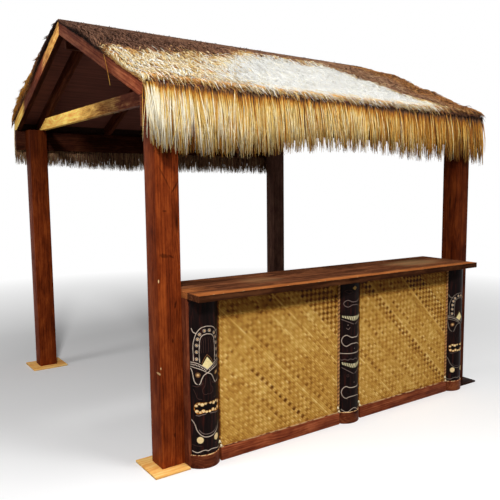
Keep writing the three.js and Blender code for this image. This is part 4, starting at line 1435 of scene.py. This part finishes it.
# Carved columns. A place on a column is its share of the half arc, from -1 at the left edge to 1 at the
# right, and its share of the height. Widths, radii and depths of marks are in millimetres.
WARM_CREAM = shade(240, 212, 156)[:3]
KITE_CREAM = shade(242, 222, 160)[:3]
BROW_CREAM = shade(222, 210, 166)[:3]
GOLD = shade(196, 156, 90)[:3]
BEAD_GOLD = shade(232, 188, 128)[:3]
TOOTH_ROOT = shade(204, 130, 56)[:3]
BARE_CUT = shade(150, 104, 66)[:3]
PALE_CUT = shade(226, 206, 186)[:3]
DULL_PALE = shade(140, 120, 112)[:3]
DULL_CUT = shade(84, 58, 52)[:3]
INK = shade(14, 9, 8)[:3]
CARVED_COLUMNS = 96
CARVED_ROWS = 600
CURVE_STEPS = 8
SOFT_EDGE = 1.3 * MM
EDGE_FADE = 12


def curve(points):
    """A smooth line through points."""
    points = np.asarray(points, float)
    padded = np.concatenate([2 * points[:1] - points[1:2], points, 2 * points[-1:] - points[-2:-1]])
    share = np.linspace(0, 1, CURVE_STEPS, endpoint=False)[:, None]
    made = []
    for a, b, c, d in zip(padded, padded[1:], padded[2:], padded[3:]):
        made.append(0.5 * (2 * b + (c - a) * share + (2 * a - 5 * b + 4 * c - d) * share ** 2
                           + (3 * b - a - 3 * c + d) * share ** 3))
    made.append(padded[-2][None])
    return np.concatenate(made)


def arc_of(width, depth):
    """Radius of a column's face, and half the angle that it turns."""
    radius = (width * width / 4 + depth * depth) / (2 * depth)
    return radius, math.asin(width / (2 * radius))


def half_round(name, x, y, z):
    """The mesh of a half-round grid of places from edge to edge and foot to top, closed by flat faces."""
    index = np.arange(x.size).reshape(x.shape)
    foot, top = index[::-1, 0][None], index[:, -1][None]
    back = np.concatenate([index[0, :], index[-1, ::-1]])[None]
    return mesh_of(name, grid_points(x, y, z), [grid_faces(index), foot, top, back])


class Carving:
    """A half-round column's face as a grid of places, with its cuts and paint."""

    def __init__(self, width, depth, height, shift_shares, level_shares, line_level):
        self.depth = depth
        self.height = height
        self.shift_shares = np.array(shift_shares).T
        self.level_shares = np.array(level_shares).T
        self.line_level = line_level
        self.radius, self.sweep = arc_of(width, depth)
        self.half_arc = self.radius * self.sweep
        across, up = np.linspace(-1, 1, CARVED_COLUMNS), np.linspace(0, 1, CARVED_ROWS)
        self.turn, self.up = np.meshgrid(across, up, indexing="ij")
        self.places = np.stack([self.turn * self.half_arc, self.up * height], -1)
        self.relief = np.zeros(self.turn.shape)
        self.paint = np.zeros((*self.turn.shape, 3))
        self.painted = np.zeros(self.turn.shape)

    def placed(self, points, flip=1):
        points = np.array(points, float) * (flip, 1)
        across = points[:, 0] + np.interp(points[:, 0], *self.shift_shares)
        up = np.interp(points[:, 1], *self.level_shares)
        return np.stack([across * self.half_arc, up * self.height], -1)

    def mirrored(self, points, both=True):
        """Points on the column and, mirrored across the design's middle, again."""
        return [self.placed(points, flip) for flip in ((1, -1) if both else (1,))]

    def mark(self, distance, colour, depth):
        """Cuts and paints where the distance to a mark's edge is negative."""
        cover = np.clip(0.5 - distance / SOFT_EDGE, 0, 1)
        self.relief -= depth * MM * cover
        share = cover[..., None]
        self.paint = self.paint * (1 - share) + np.array(colour) * share
        self.painted = np.maximum(self.painted, cover)

    def from_line(self, line):
        nearest = np.full(self.turn.shape, 1.0)
        for start, end in zip(line, line[1:]):
            step = end - start
            share = np.clip(((self.places - start) @ step) / max(step @ step, TINY), 0, 1)
            gap = np.linalg.norm(self.places - start - share[..., None] * step, axis=-1)
            nearest = np.minimum(nearest, gap)
        return nearest

    def line(self, points, width, colour=PALE_CUT, depth=1.6, both=True, bend=True):
        """A cut along a line, and its mirror image across the column's middle."""
        dimmed = [channel * self.line_level for channel in colour]
        for placed in self.mirrored(points, both):
            route = curve(placed) if bend else placed
            self.mark(self.from_line(route) - width * MM / 2, dimmed, depth)

    def dot(self, place, radius, colour=WARM_CREAM, depth=0.0, stretch=1.0, both=True):
        for centre in self.mirrored([place], both):
            away = (self.places - centre[0]) / np.array([1.0, stretch])
            self.mark(np.linalg.norm(away, axis=-1) - radius * MM, colour, depth)

    def ring(self, place, radius, width, colour=BARE_CUT, depth=1.6):
        for centre in self.mirrored([place]):
            away = np.linalg.norm(self.places - centre[0], axis=-1)
            self.mark(np.abs(away - radius * MM) - width * MM / 2, colour, depth)

    def swell(self, place, reach, tall, height, both=True):
        for centre in self.mirrored([place], both):
            away = (self.places - centre[0]) / (np.array([reach, tall]) * MM)
            self.relief += height * MM * np.exp(-(away ** 2).sum(-1))

    def inside(self, points):
        """Distance to a closed outline, negative inside it."""
        outline = self.placed(points)
        gap = self.from_line(np.concatenate([outline, outline[:1]]))
        x, y = self.places[..., 0], self.places[..., 1]
        within = np.zeros(x.shape, bool)
        for (ax, ay), (bx, by) in zip(outline, np.roll(outline, -1, 0)):
            crosses = (ay > y) != (by > y)
            at = ax + (bx - ax) * (y - ay) / (by - ay if by != ay else TINY)
            within ^= crosses & (x < at)
        return np.where(within, -gap, gap)

    def solid(self, points, colour, depth):
        self.mark(self.inside(points), colour, depth)

    def mesh(self, name, middle_x, face_y, bottom):
        """The carved face with a flat back, top and foot."""
        angle = self.turn * self.sweep
        radius = self.radius + self.relief * np.minimum(1, (1 - np.abs(self.turn)) * EDGE_FADE)
        x = middle_x + radius * np.sin(angle)
        y = np.minimum(face_y - radius * np.cos(angle) + self.radius - self.depth, face_y)
        mesh = half_round(name, x, y, bottom + self.up * self.height)
        numbers(mesh, "painted", self.painted.ravel())
        rgba = np.concatenate([self.paint, np.ones((*self.turn.shape, 1))], -1)
        numbers(mesh, "paint", rgba, "FLOAT_COLOR")
        return mesh


# Lines of the faces, from the headdress down; all but the wave are mirrored
HEADDRESS_SHARES = ((0.8, 0.61), (0.82, 0.665), (0.82, 0.709), (0.76, 0.743), (0.66, 0.774), (0.5, 0.802),
                    (0.28, 0.821), (0.0, 0.827))
HEADDRESS_INNER_SHARES = ((0.44, 0.6), (0.46, 0.646), (0.45, 0.696), (0.43, 0.727), (0.37, 0.755),
                          (0.23, 0.772), (0.0, 0.779))
BEAD_SHARES = ((0.62, 0.622), (0.61, 0.667), (0.6, 0.709), (0.54, 0.748), (0.42, 0.778), (0.14, 0.799))
PLUME_SHARES = ((0.42, 0.66), (0.44, 0.71), (0.3, 0.757))
PLUME_STEP_SHARES = ((0.2, 1.0), (0.5, 1.0), (0.8, 1.0))
HORN_SHARES = ((0.9, 0.815), (0.8, 0.793), (0.62, 0.784))
KITE_EDGE_SHARES = ((0.31, 0.592), (0.18, 0.622), (0.0, 0.647))
KITE_SHARES = ((0.0, 0.634), (0.31, 0.581), (0.0, 0.555), (-0.31, 0.581))
BROW_TOP_SHARES = ((1.0, 0.602), (0.69, 0.598), (0.43, 0.587), (0.18, 0.568), (0.0, 0.552))
BROW_FOOT_SHARES = ((1.0, 0.575), (0.56, 0.563), (0.3, 0.551), (0.0, 0.531))
BROW_DOT_DROP_SHARE = 0.0125
EYE_OUTER_SHARES = ((1.0, 0.563), (0.9, 0.542), (0.85, 0.508), (0.79, 0.483), (0.7, 0.466), (0.6, 0.46))
EYE_INNER_SHARES = ((0.5, 0.459), (0.42, 0.467), (0.31, 0.498), (0.19, 0.518), (0.0, 0.531))
EYE_SHARES = (0.56, 0.52)
LID_SHARES = ((0.89, 0.45), (0.58, 0.446), (0.26, 0.465))
NOSE_SHARES = ((0.12, 0.5), (0.16, 0.45), (0.3, 0.425), (0.26, 0.4), (0.1, 0.392), (0.0, 0.396))
CHEEK_SHARES = ((0.86, 0.43), (0.72, 0.4), (0.6, 0.37), (0.35, 0.362))
MOUTH_SHARES = ((0.0, 0.336), (0.33, 0.341), (0.6, 0.341), (0.74, 0.33), (0.82, 0.31), (0.77, 0.288),
                (0.65, 0.272), (0.45, 0.272), (0.26, 0.279), (0.0, 0.28))
LIP_SHARES = ((0.71, 0.26), (0.53, 0.257), (0.34, 0.263), (0.12, 0.267))
BEARD_SHARES = ((1.0, 0.229), (0.87, 0.214), (0.76, 0.192), (0.7, 0.17), (0.58, 0.148), (0.42, 0.13),
                (0.23, 0.118), (0.0, 0.114))
BEARD_INNER_SHARES = ((0.54, 0.165), (0.39, 0.146), (0.2, 0.136), (0.0, 0.133))
DISC_SHARES = (0.49, 0.098)
BAND_SHARES = ((1.0, 0.069), (0.7, 0.061), (0.38, 0.059))
WAVE_SHARES = ((-0.99, 0.026), (-0.82, 0.019), (-0.63, 0.017), (-0.47, 0.023), (-0.33, 0.029),
               (-0.16, 0.029), (-0.01, 0.023), (0.13, 0.029), (0.37, 0.026), (0.62, 0.018), (0.95, 0.03))

# Teeth: their place, and their radius in millimetres
TEETH = (((0.7, 0.321), 10.0), ((0.52, 0.334), 9.0), ((0.34, 0.328), 12.0), ((0.14, 0.334), 9.0),
         ((0.66, 0.286), 11.0), ((0.46, 0.279), 8.5), ((0.28, 0.286), 11.0), ((0.09, 0.28), 8.5))


def row_below(line_shares, first, last, count):
    """Places spread across between two shares, on a line whose table runs inwards."""
    return [(place, read_off(place, line_shares[::-1])) for place in np.linspace(first, last, count)]


def tiki_face(carving):
    """The two outer columns: a face under a beaded headdress, over a beard and a wave."""
    carving.swell((0.0, 0.47), reach=16, tall=60, height=5.0, both=False)
    carving.swell((0.5, 0.545), reach=40, tall=20, height=3.5)
    carving.swell((0.5, 0.5), reach=28, tall=30, height=-3.5)
    carving.swell((0.0, 0.31), reach=60, tall=26, height=3.0, both=False)
    carving.line(HEADDRESS_SHARES, 4.2)
    carving.line(HEADDRESS_INNER_SHARES, 4.0)
    for place in BEAD_SHARES:
        carving.ring(place, 8.2, 3.0, PALE_CUT, depth=0.8)
        carving.dot(place, 4.8, BEAD_GOLD, depth=-1.2)
    for step in PLUME_STEP_SHARES:
        carving.line(np.multiply(PLUME_SHARES, step), 2.4, DULL_CUT, depth=1.3)
    carving.line(HORN_SHARES, 5.0)
    carving.line(KITE_EDGE_SHARES, 3.4, BARE_CUT)
    carving.solid(KITE_SHARES, KITE_CREAM, depth=-0.8)
    carving.line(BROW_TOP_SHARES, 4.2)
    carving.line(BROW_FOOT_SHARES, 4.0)
    for place, up in row_below(BROW_TOP_SHARES, 0.1, 0.96, 11):
        carving.dot((place, up - BROW_DOT_DROP_SHARE), 2.8, PALE_CUT, depth=-0.6, stretch=1.5)
    carving.line(EYE_OUTER_SHARES, 4.6)
    carving.line(EYE_INNER_SHARES, 4.6)
    carving.ring(EYE_SHARES, 12.5, 5.0)
    carving.dot(EYE_SHARES, 8.5, BEAD_GOLD, depth=-0.8)
    carving.line(LID_SHARES, 3.4, DULL_CUT)
    carving.line(NOSE_SHARES, 2.8, DULL_CUT)
    carving.line(CHEEK_SHARES, 3.0, DULL_CUT)
    mouth = [*MOUTH_SHARES, *[(-place, up) for place, up in MOUTH_SHARES[-2:0:-1]]]
    carving.solid(mouth, INK, depth=4.0)
    carving.line(MOUTH_SHARES, 3.4, TOOTH_ROOT, depth=0.0)
    for place, radius in TEETH:
        carving.dot(place, radius, TOOTH_ROOT, depth=-1.5, stretch=0.85)
        carving.dot(place, radius - 1.4, depth=-1.5, stretch=0.82)
    carving.line(LIP_SHARES, 4.2, DULL_PALE)
    carving.line(BEARD_SHARES, 4.4)
    carving.line(BEARD_INNER_SHARES, 4.0, DULL_PALE)
    carving.dot(DISC_SHARES, 20.0, depth=-1.5)
    carving.ring(DISC_SHARES, 21.5, 3.0, INK, depth=2.0)
    carving.line(BAND_SHARES, 2.6, DULL_CUT)
    carving.line(WAVE_SHARES, 4.4, both=False)


# A mouth's outline: its place as a share of its reach, its height as a share of its ends' half height
MASK_MOUTH_SHARES = ((0.48, 0.84), (0.62, 1.0), (0.8, 0.84), (0.94, 0.46), (1.0, 0.0))
NECK_END_SHARE = 0.24
MASK_MOUTHS = (
    {"up_share": 0.827, "tall_share": 0.025, "neck_share": 0.46, "reach_share": 0.74, "colour": DULL_PALE},
    {"up_share": 0.548, "tall_share": 0.042, "neck_share": 0.56, "reach_share": 0.86, "colour": PALE_CUT},
    {"up_share": 0.153, "tall_share": 0.046, "neck_share": 0.74, "reach_share": 0.85, "colour": PALE_CUT},
)
MASK_BROWS = (
    {"top_shares": ((0.87, 0.738), (0.5, 0.734), (0.0, 0.729)),
     "foot_shares": ((0.87, 0.724), (0.55, 0.715), (0.22, 0.7), (0.0, 0.694)),
     "line_shares": ((0.87, 0.709), (0.49, 0.692), (0.06, 0.67))},
    {"top_shares": ((0.85, 0.386), (0.53, 0.379), (0.23, 0.371), (0.0, 0.369)),
     "foot_shares": ((0.83, 0.368), (0.53, 0.356), (0.23, 0.341), (0.0, 0.333)),
     "line_shares": ((0.83, 0.344), (0.46, 0.32), (0.06, 0.292))},
)
FEATHER_TOP_SHARES = (0.05, 0.0)
FEATHER_FOOT_SHARES = (-0.06, -0.036)
CREST_SHARES = ((0.0, 0.958), (0.18, 0.941), (0.0, 0.924), (-0.18, 0.941))
TOP_EYE_SHARES = ((0.69, 0.92), (0.44, 0.928), (0.13, 0.914), (0.41, 0.903), (0.69, 0.92))
SMALL_EYE_SHARES = (0.46, 0.666)
SMALL_LID_SHARES = ((0.56, 0.644), (0.44, 0.633), (0.32, 0.646))
LOW_EYE_SHARES = (0.44, 0.28)
MIDDLE_DOT_SHARES = ((0.0, 0.485), (0.0, 0.225))
DOT_ROW_SHARES = [(place, 0.443) for place in np.linspace(-0.94, 0.84, 16)]
BELT_SHARES = ((-1.0, 0.452), (0.0, 0.45), (0.9, 0.456))
RIPPLE_SHARES = [(place, 0.404 + 0.004 * math.sin(place * 17)) for place in np.linspace(-1.0, 0.9, 22)]
ZIGZAG_SHARES = ((0.86, 0.021), (0.6, 0.002), (0.41, 0.001), (0.2, 0.018), (0.0, 0.026))


def mask_mouth(carving, up_share, tall_share, neck_share, reach_share, colour):
    carving.swell((0.0, up_share), reach=60, tall=30, height=3.0, both=False)
    neck = tall_share * neck_share
    upper = [(0.0, neck), (NECK_END_SHARE * reach_share, neck)]
    upper += [(reach_share * place, tall_share * level) for place, level in MASK_MOUTH_SHARES]
    for flip in (1, -1):
        carving.line([(place, up_share + flip * level) for place, level in upper], 4.4, colour)
    carving.dot((0.5 * reach_share, up_share), 9.0, INK, depth=3.0, stretch=0.7)


def mask_brow(carving, top_shares, foot_shares, line_shares):
    """A feathered brow that hangs in the middle, over two lines that meet."""
    half = [*top_shares, *foot_shares[::-1]]
    carving.solid(half, BROW_CREAM, depth=-0.6)
    carving.solid([(-place, up) for place, up in half], BROW_CREAM, depth=-0.6)
    for place in row_below(top_shares, 0.1, 0.82, 6):
        feather = (np.add(place, FEATHER_TOP_SHARES), np.add(place, FEATHER_FOOT_SHARES))
        carving.line(feather, 6.5, INK, depth=1.4, bend=False)
    carving.line(line_shares, 4.0, DULL_PALE)


def stacked_masks(carving):
    """The middle column: mouths with round corners, between feathered brows, eyes and bands."""
    carving.solid(CREST_SHARES, GOLD, depth=-1.0)
    carving.line(TOP_EYE_SHARES, 2.8, DULL_CUT)
    for mouth in MASK_MOUTHS:
        mask_mouth(carving, **mouth)
    for brow in MASK_BROWS:
        mask_brow(carving, **brow)
    carving.dot(SMALL_EYE_SHARES, 4.0, DULL_PALE)
    carving.line(SMALL_LID_SHARES, 3.6, DULL_PALE)
    carving.ring(LOW_EYE_SHARES, 8.0, 3.0, DULL_CUT)
    for place in MIDDLE_DOT_SHARES:
        carving.dot(place, 3.4, DULL_PALE, both=False)
    for place in DOT_ROW_SHARES:
        carving.dot(place, 2.4, DULL_CUT, depth=-0.4, both=False)
    carving.line(BELT_SHARES, 4.2, both=False)
    carving.line(RIPPLE_SHARES, 3.4, DULL_PALE, both=False)
    carving.line(ZIGZAG_SHARES, 4.0, bend=False)


# Where each design sits on its column: how far it is shifted across, at shares of the half arc, its heights
# at shares of the left face's, as the right face is cut lower, and how bright its lines are
LEVEL_SHARES = ((0.0, 0.0), (1.0, 1.0))
RIGHT_LEVEL_SHARES = ((0.0, 0.0), (0.1, 0.1), (0.31, 0.297), (0.52, 0.5), (0.6, 0.578), (0.827, 0.772),
                      (1.0, 1.0))
FACE_SHIFT_SHARES = ((-1.0, 0.05), (0.0, -0.07), (1.0, 0.05))
MASK_SHIFT_SHARES = ((-1.0, 0.05), (1.0, 0.05))
RIGHT_SHIFT_SHARES = ((-1.0, 0.05), (0.0, 0.04), (1.0, 0.05))
DESIGNS = {
    "left": (tiki_face, FACE_SHIFT_SHARES, LEVEL_SHARES, 1.0),
    "middle": (stacked_masks, MASK_SHIFT_SHARES, LEVEL_SHARES, 0.9),
    "right": (tiki_face, RIGHT_SHIFT_SHARES, RIGHT_LEVEL_SHARES, 0.34),
}
FACE_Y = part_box("counter_back_panel")[0].y


def column(name):
    design, *shares = DESIGNS[name]
    node = f"tiki_column_{name}"
    low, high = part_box(node)
    carving = Carving(high.x - low.x, FACE_Y - low.y, high.z - low.z, *shares)
    design(carving)
    mesh = carving.mesh(node + "_carved", (low.x + high.x) / 2, FACE_Y, low.z)
    smooth(mesh, ROUND_ANGLE)
    piece(node + "_carved", mesh, CARVED, [node])


PLINTH_ROUND = 7 * MM
PLINTH_ROUND_STEPS = 6
PLINTH_FOOT = 1.0 * MM
PLINTH_COLUMNS = 48
PLINTH_ANGLE = math.radians(40)
PLINTH_STAIN = 0.62
PLINTH_RIM_LIGHT = 0.9
PAINTED_EDGE_HIGHLIGHT = 1.3
PLINTH_SEEDS = 900
BEAD_SEEDS = 950


def plinth(name):
    """A half-round block with a rounded upper rim."""
    node = f"tiki_plinth_{name}"
    low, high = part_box(node)
    width, depth = high.x - low.x, FACE_Y - low.y
    radius, sweep = arc_of(width, depth)
    corner = np.linspace(0, math.pi / 2, PLINTH_ROUND_STEPS)
    insets = np.concatenate([[PLINTH_FOOT, 0.0, 0.0], PLINTH_ROUND * (1 - np.cos(corner))])
    rounded = high.z - PLINTH_ROUND * (1 - np.sin(corner))
    levels = np.concatenate([[0.0, PLINTH_FOOT, rounded[0] / 2], rounded])
    angle, inset = np.meshgrid(np.linspace(-sweep, sweep, PLINTH_COLUMNS), insets, indexing="ij")
    x = (low.x + high.x) / 2 + (radius - inset) * np.sin(angle)
    y = np.minimum(FACE_Y - (radius - inset) * np.cos(angle) + radius - depth, FACE_Y)
    mesh = half_round(node + "_block", x, y, np.broadcast_to(levels, angle.shape))
    smooth(mesh, PLINTH_ANGLE)
    # The rounded rim is painted lighter and flecked pale, a painted highlight.
    rim = high.z - PLINTH_ROUND / 2
    grained(mesh, "plinth", PLINTH_SEEDS + len(name),
            stain_and_lighting=lambda points: np.where(points[:, AXIS_Z] > rim, PLINTH_RIM_LIGHT, PLINTH_STAIN),
            chip_and_highlight=lambda points: np.where(points[:, AXIS_Z] > rim, PAINTED_EDGE_HIGHLIGHT, 0.0))
    piece(node + "_block", mesh, SKIRT_WOOD, [node])


# What travels more upwards than this is steep
STEEP_TRAVEL = 0.8


def tube(points, radius, sides=6):
    """A closed tube along points, as points and faces for mesh_of."""
    points = np.asarray(points, float)
    travel = np.gradient(points, axis=0)
    travel /= np.linalg.norm(travel, axis=1, keepdims=True)
    _, along_y, along_z = np.eye(3)
    helper = np.where(np.abs(travel[:, 2:3]) > STEEP_TRAVEL, along_y, along_z)
    first = np.cross(travel, helper)
    first /= np.linalg.norm(first, axis=1, keepdims=True)
    second = np.cross(travel, first)
    turn = np.linspace(0, math.tau, sides, endpoint=False)
    ring = radius * (first[:, None] * np.cos(turn)[:, None] + second[:, None] * np.sin(turn)[:, None])
    shell = (points[:, None] + ring).reshape(-1, 3)
    index = np.arange(len(points) * sides).reshape(len(points), sides)
    after = np.roll(index, -1, 1)
    skin = np.stack([index[:-1], after[:-1], after[1:], index[1:]], -1).reshape(-1, 4)
    return shell, skin, index[0][::-1][None], index[-1][None]


# Cords: three strands twisted round each other, from above the mats' feet to just under the counter's top
CORD_RADIUS = 4.6 * MM
CORD_LAY = 3.8 * MM
CORD_TURN = 26 * MM
CORD_STEPS_A_TURN = 9
CORD_TONES = (0.62, 0.24, 0.42)
CORD_FOOT = 14 * MM
CORD_TOP = 1 * MM
CORD_SIDES = ("left", "right")

# Frayed knots at both lower corners of each mat, one over the other, each a little left of the one below
KNOTS = 2
KNOT_SEED = 61
KNOT_STEP = 27 * MM
KNOT_SHIFT = {"right": -KNOT_STEP / 4, "left": -KNOT_STEP / 3}
KNOT_STRANDS = 34
KNOT_STEPS = 4
KNOT_SPREAD = 9.0
KNOT_DROPS = (12, 18)
KNOT_CORE = (2 * MM, 1 * MM)
KNOT_LIFT = 4 * MM
KNOT_STRAND_WIDTH = 3.4 * MM
KNOT_TONE = 0.86


def cord_trims():
    """Twisted cords on the mats' right edges, and frayed ends at the foot of both edges."""
    scatter = np.random.default_rng(KNOT_SEED)
    for side in CORD_SIDES:
        low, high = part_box(f"woven_mat_{side}")
        inset = CORD_RADIUS + CORD_LAY
        x, y = high.x - inset, high.y - MAT_BED - STRIP_RISE - inset
        start, end = low.z + CORD_FOOT, high.z - CORD_TOP
        steps = np.linspace(start, end, int((end - start) / (CORD_TURN / CORD_STEPS_A_TURN)))
        shells, faces, tones, offset = [], [], [], 0
        for strand, tone in enumerate(CORD_TONES):
            turn = math.tau * steps / CORD_TURN + strand * math.tau / len(CORD_TONES)
            route = np.stack([x + CORD_LAY * np.cos(turn), y + CORD_LAY * np.sin(turn), steps], -1)
            shell, *strand_faces = tube(route, CORD_RADIUS)
            shells.append(shell)
            tones.append(np.full(len(shell), tone))
            faces.extend(face + offset for face in strand_faces)
            offset += len(shell)
        mesh = mesh_of(f"cord_trim_{side}", np.concatenate(shells), faces)
        numbers(mesh, "tone", np.concatenate(tones))
        smooth(mesh, ROUND_ANGLE)
        piece(f"cord_trim_{side}", mesh, CORD)
        feet = {"right": (x, y - CORD_RADIUS), "left": (low.x + inset, y)}
        for knot in range(KNOTS):
            for edge, (foot_x, foot_y) in feet.items():
                foot = (foot_x + knot * KNOT_SHIFT[edge], foot_y, start + knot * KNOT_STEP)
                frayed_end(f"cord_end_{side}_{edge}_{knot + 1}", foot, scatter)


def frayed_end(name, foot, scatter):
    steps = np.linspace(0, 1, KNOT_STEPS)
    swing = scatter.uniform(0, math.tau, KNOT_STRANDS)
    spread = scatter.uniform(0.0, KNOT_SPREAD, KNOT_STRANDS)[:, None] * MM * steps
    drop = scatter.uniform(*KNOT_DROPS, KNOT_STRANDS) * MM
    core_x, core_y = KNOT_CORE
    x = foot[0] + (core_x + spread) * np.cos(swing)[:, None]
    y = foot[1] - np.abs((core_y + spread) * np.sin(swing)[:, None])
    z = foot[2] + KNOT_LIFT - drop[:, None] * steps
    sides = np.stack([np.sin(swing), np.cos(swing), 0 * swing], -1)[:, None, :]
    widths, tones = np.full(x.shape, KNOT_STRAND_WIDTH), np.full(x.shape, KNOT_TONE)
    part = blades(np.stack([x, y, z], -1), sides, widths, tones)
    straw_piece(name, [part])


BEAD_RADIUS = 3.4 * MM
BEAD_SIDES = 10
BEAD_STEPS = 40
BEAD_STAIN = 0.72


def skirt_beads():
    """A slim round bead along the upper front edge of each skirt board."""
    for side in CORD_SIDES:
        low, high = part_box(f"skirt_board_{side}")
        y, z = low.y + BEAD_RADIUS, high.z + BEAD_RADIUS
        route = [(x, y, z) for x in np.linspace(low.x, high.x, BEAD_STEPS)]
        points, *faces = tube(route, BEAD_RADIUS, BEAD_SIDES)
        mesh = mesh_of(f"skirt_bead_{side}", points, faces)
        smooth(mesh, ROUND_ANGLE)
        # Pale flecks along the bead are a painted highlight.
        grained(mesh, "skirt_bead", BEAD_SEEDS + len(side), stain_and_lighting=BEAD_STAIN, chip_and_highlight=PAINTED_EDGE_HIGHLIGHT)
        piece(f"skirt_bead_{side}", mesh, SKIRT_WOOD)


# The stray straw: where it starts, how far it goes and bows, its widths in millimetres and its tones
STRAY_OUT = 6 * MM
STRAY_START = (-0.784, 2.375)
STRAY_RUN = (0.09, 0.196)
STRAY_BOW = 0.004
STRAY_WIDTHS = (5.0, 6.0, 6.5, 7.0, 7.0, 6.0)
STRAY_TONES = (0.62, 0.56, 0.52, 0.5, 0.56, 0.62)


def stray_straw():
    """One long straw that hangs from the left gable."""
    steps = np.linspace(0, 1, len(STRAY_WIDTHS))
    x = np.full(len(steps), -GABLE_X - STRAY_OUT)
    y = STRAY_START[0] - STRAY_RUN[0] * steps - STRAY_BOW * np.sin(math.pi * steps)
    z = STRAY_START[1] - STRAY_RUN[1] * steps
    paths = np.stack([x, y, z], -1)[None]
    part = blades(paths, np.array([0.0, -1.0, 0.0]), np.array([STRAY_WIDTHS]) * MM, np.array([STRAY_TONES]))
    straw_piece("stray_straw", [part])


# Studio: the floor fades to white between two distances, and the hut gets a share of the world's light
WHITE = (1.0, 1.0, 1.0, 1.0)
FLOOR_REACH = 40.0
FLOOR_DROP = 0.5 * MM
FLOOR_NEAR = 2.2
FLOOR_FAR = 7.0
AMBIENT_LEVEL = 0.14

# Lamps: place, target, size and power in watts
LAMPS = {
    "front lamp": ((-3.9, -6.5, 5.4), (0, -1.0, 0.8), 0.9, 470),
    "high lamp": ((1.0, -5.0, 7.5), (0, 0, 1.2), 2.0, 150),
    "roof lamp": ((0.6, -2.6, 7.5), (0, -0.5, 2.2), 2.5, 120),
    "left lamp": ((-7.0, 0.5, 3.4), (0, 0, 1.2), 2.5, 90),
}


def linked(name, data):
    """A new object of the studio."""
    made = bpy.data.objects.new(name, data)
    bpy.context.scene.collection.objects.link(made)
    return made


def pale_floor():
    mesh = bpy.data.meshes.new("floor")
    corners = [(x * FLOOR_REACH, y * FLOOR_REACH, 0) for x, y in ((-1, -1), (1, -1), (1, 1), (-1, 1))]
    mesh.from_pydata(corners, [], [(0, 1, 2, 3)])
    floor = linked("floor", mesh)
    floor.location.z = -FLOOR_DROP
    mesh.materials.append(floor_finish())


def surroundings():
    """A white world that lights the hut less than it shows."""
    world = bpy.data.worlds.new("studio")
    bpy.context.scene.world = world
    world.use_nodes = True
    tree = world.node_tree
    background = tree.nodes["Background"]
    strength = tree.nodes.new("ShaderNodeMapRange")
    strength.inputs["To Min"].default_value = AMBIENT_LEVEL
    strength.inputs["To Max"].default_value = 1.0
    tree.links.new(seen_directly(tree), strength.inputs["Value"])
    tree.links.new(strength.outputs["Result"], background.inputs["Strength"])
    background.inputs["Color"].default_value = WHITE
    bpy.context.scene.view_settings.view_transform = "Standard"


def seen_directly(tree):
    """A node output that is 1 for what the camera sees, also through a reflection or glass."""
    path = tree.nodes.new("ShaderNodeLightPath")
    seen = path.outputs["Is Camera Ray"]
    for kind in ("Is Glossy Ray", "Is Transmission Ray"):
        either = tree.nodes.new("ShaderNodeMath")
        either.operation = "MAXIMUM"
        tree.links.new(seen, either.inputs[0])
        tree.links.new(path.outputs[kind], either.inputs[1])
        seen = either.outputs[0]
    return seen


def floor_finish():
    """Pale floor that shows the shadow near the hut and fades to white far from it."""
    finish = Finish("pale floor", roughness=0.9, specular=0.0)
    seen = seen_directly(finish.tree)
    place = finish.place()
    cloudy = finish.noise(place, scale=0.4, detail=2.0)
    pale = finish.ramp(cloudy, [(0.0, shade(250, 250, 250)), (1.0, shade(255, 255, 255))])
    finish.colour(finish.blend(seen, shade(150, 148, 144), pale))
    away = finish.node("VectorMath", {0: place}, operation="LENGTH").outputs["Value"]
    fade = finish.number("MULTIPLY", seen, finish.between(away, FLOOR_NEAR, FLOOR_FAR))
    white = finish.node("Emission", {"Color": WHITE, "Strength": 1.0}).outputs[0]
    mixed = finish.node("MixShader", {0: fade, 1: finish.surface.outputs[0], 2: white}).outputs[0]
    finish.tree.links.new(mixed, finish.tree.nodes["Material Output"].inputs["Surface"])
    return finish.material


def lamp(name, place, target, size, power):
    data = bpy.data.lights.new(name, "AREA")
    data.shape = "DISK"
    data.size = size
    data.energy = power
    made = linked(name, data)
    made.location = place
    made.rotation_euler = (Vector(target) - Vector(place)).to_track_quat("-Z", "Y").to_euler()


def camera():
    data = bpy.data.cameras.new("camera")
    data.lens = CAMERA_LENS
    data.sensor_width = SENSOR_WIDTH
    data.shift_x, data.shift_y = CAMERA_SHIFT
    made = linked("camera", data)
    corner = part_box("post_front_left")[0]
    made.location = (corner.x + CAMERA_FROM_POST[0], corner.y + CAMERA_FROM_POST[1], CAMERA_HEIGHT)
    made.rotation_euler = (math.pi / 2 - CAMERA_DIP, 0, -CAMERA_YAW)
    bpy.context.scene.camera = made


camera()
pale_floor()
surroundings()
for lamp_name, settings in LAMPS.items():
    lamp(lamp_name, *settings)
lumber()
thatch()
ridge_straw()
gable_tufts()
for fringe_side, fringe_seed in FRINGE_SEEDS.items():
    fringe(fringe_side, fringe_seed)
stray_straw()
for mat_side in WEAVES:
    woven_mat(mat_side)
for column_name in DESIGNS:
    column(column_name)
    plinth(column_name)
cord_trims()
skirt_beads()
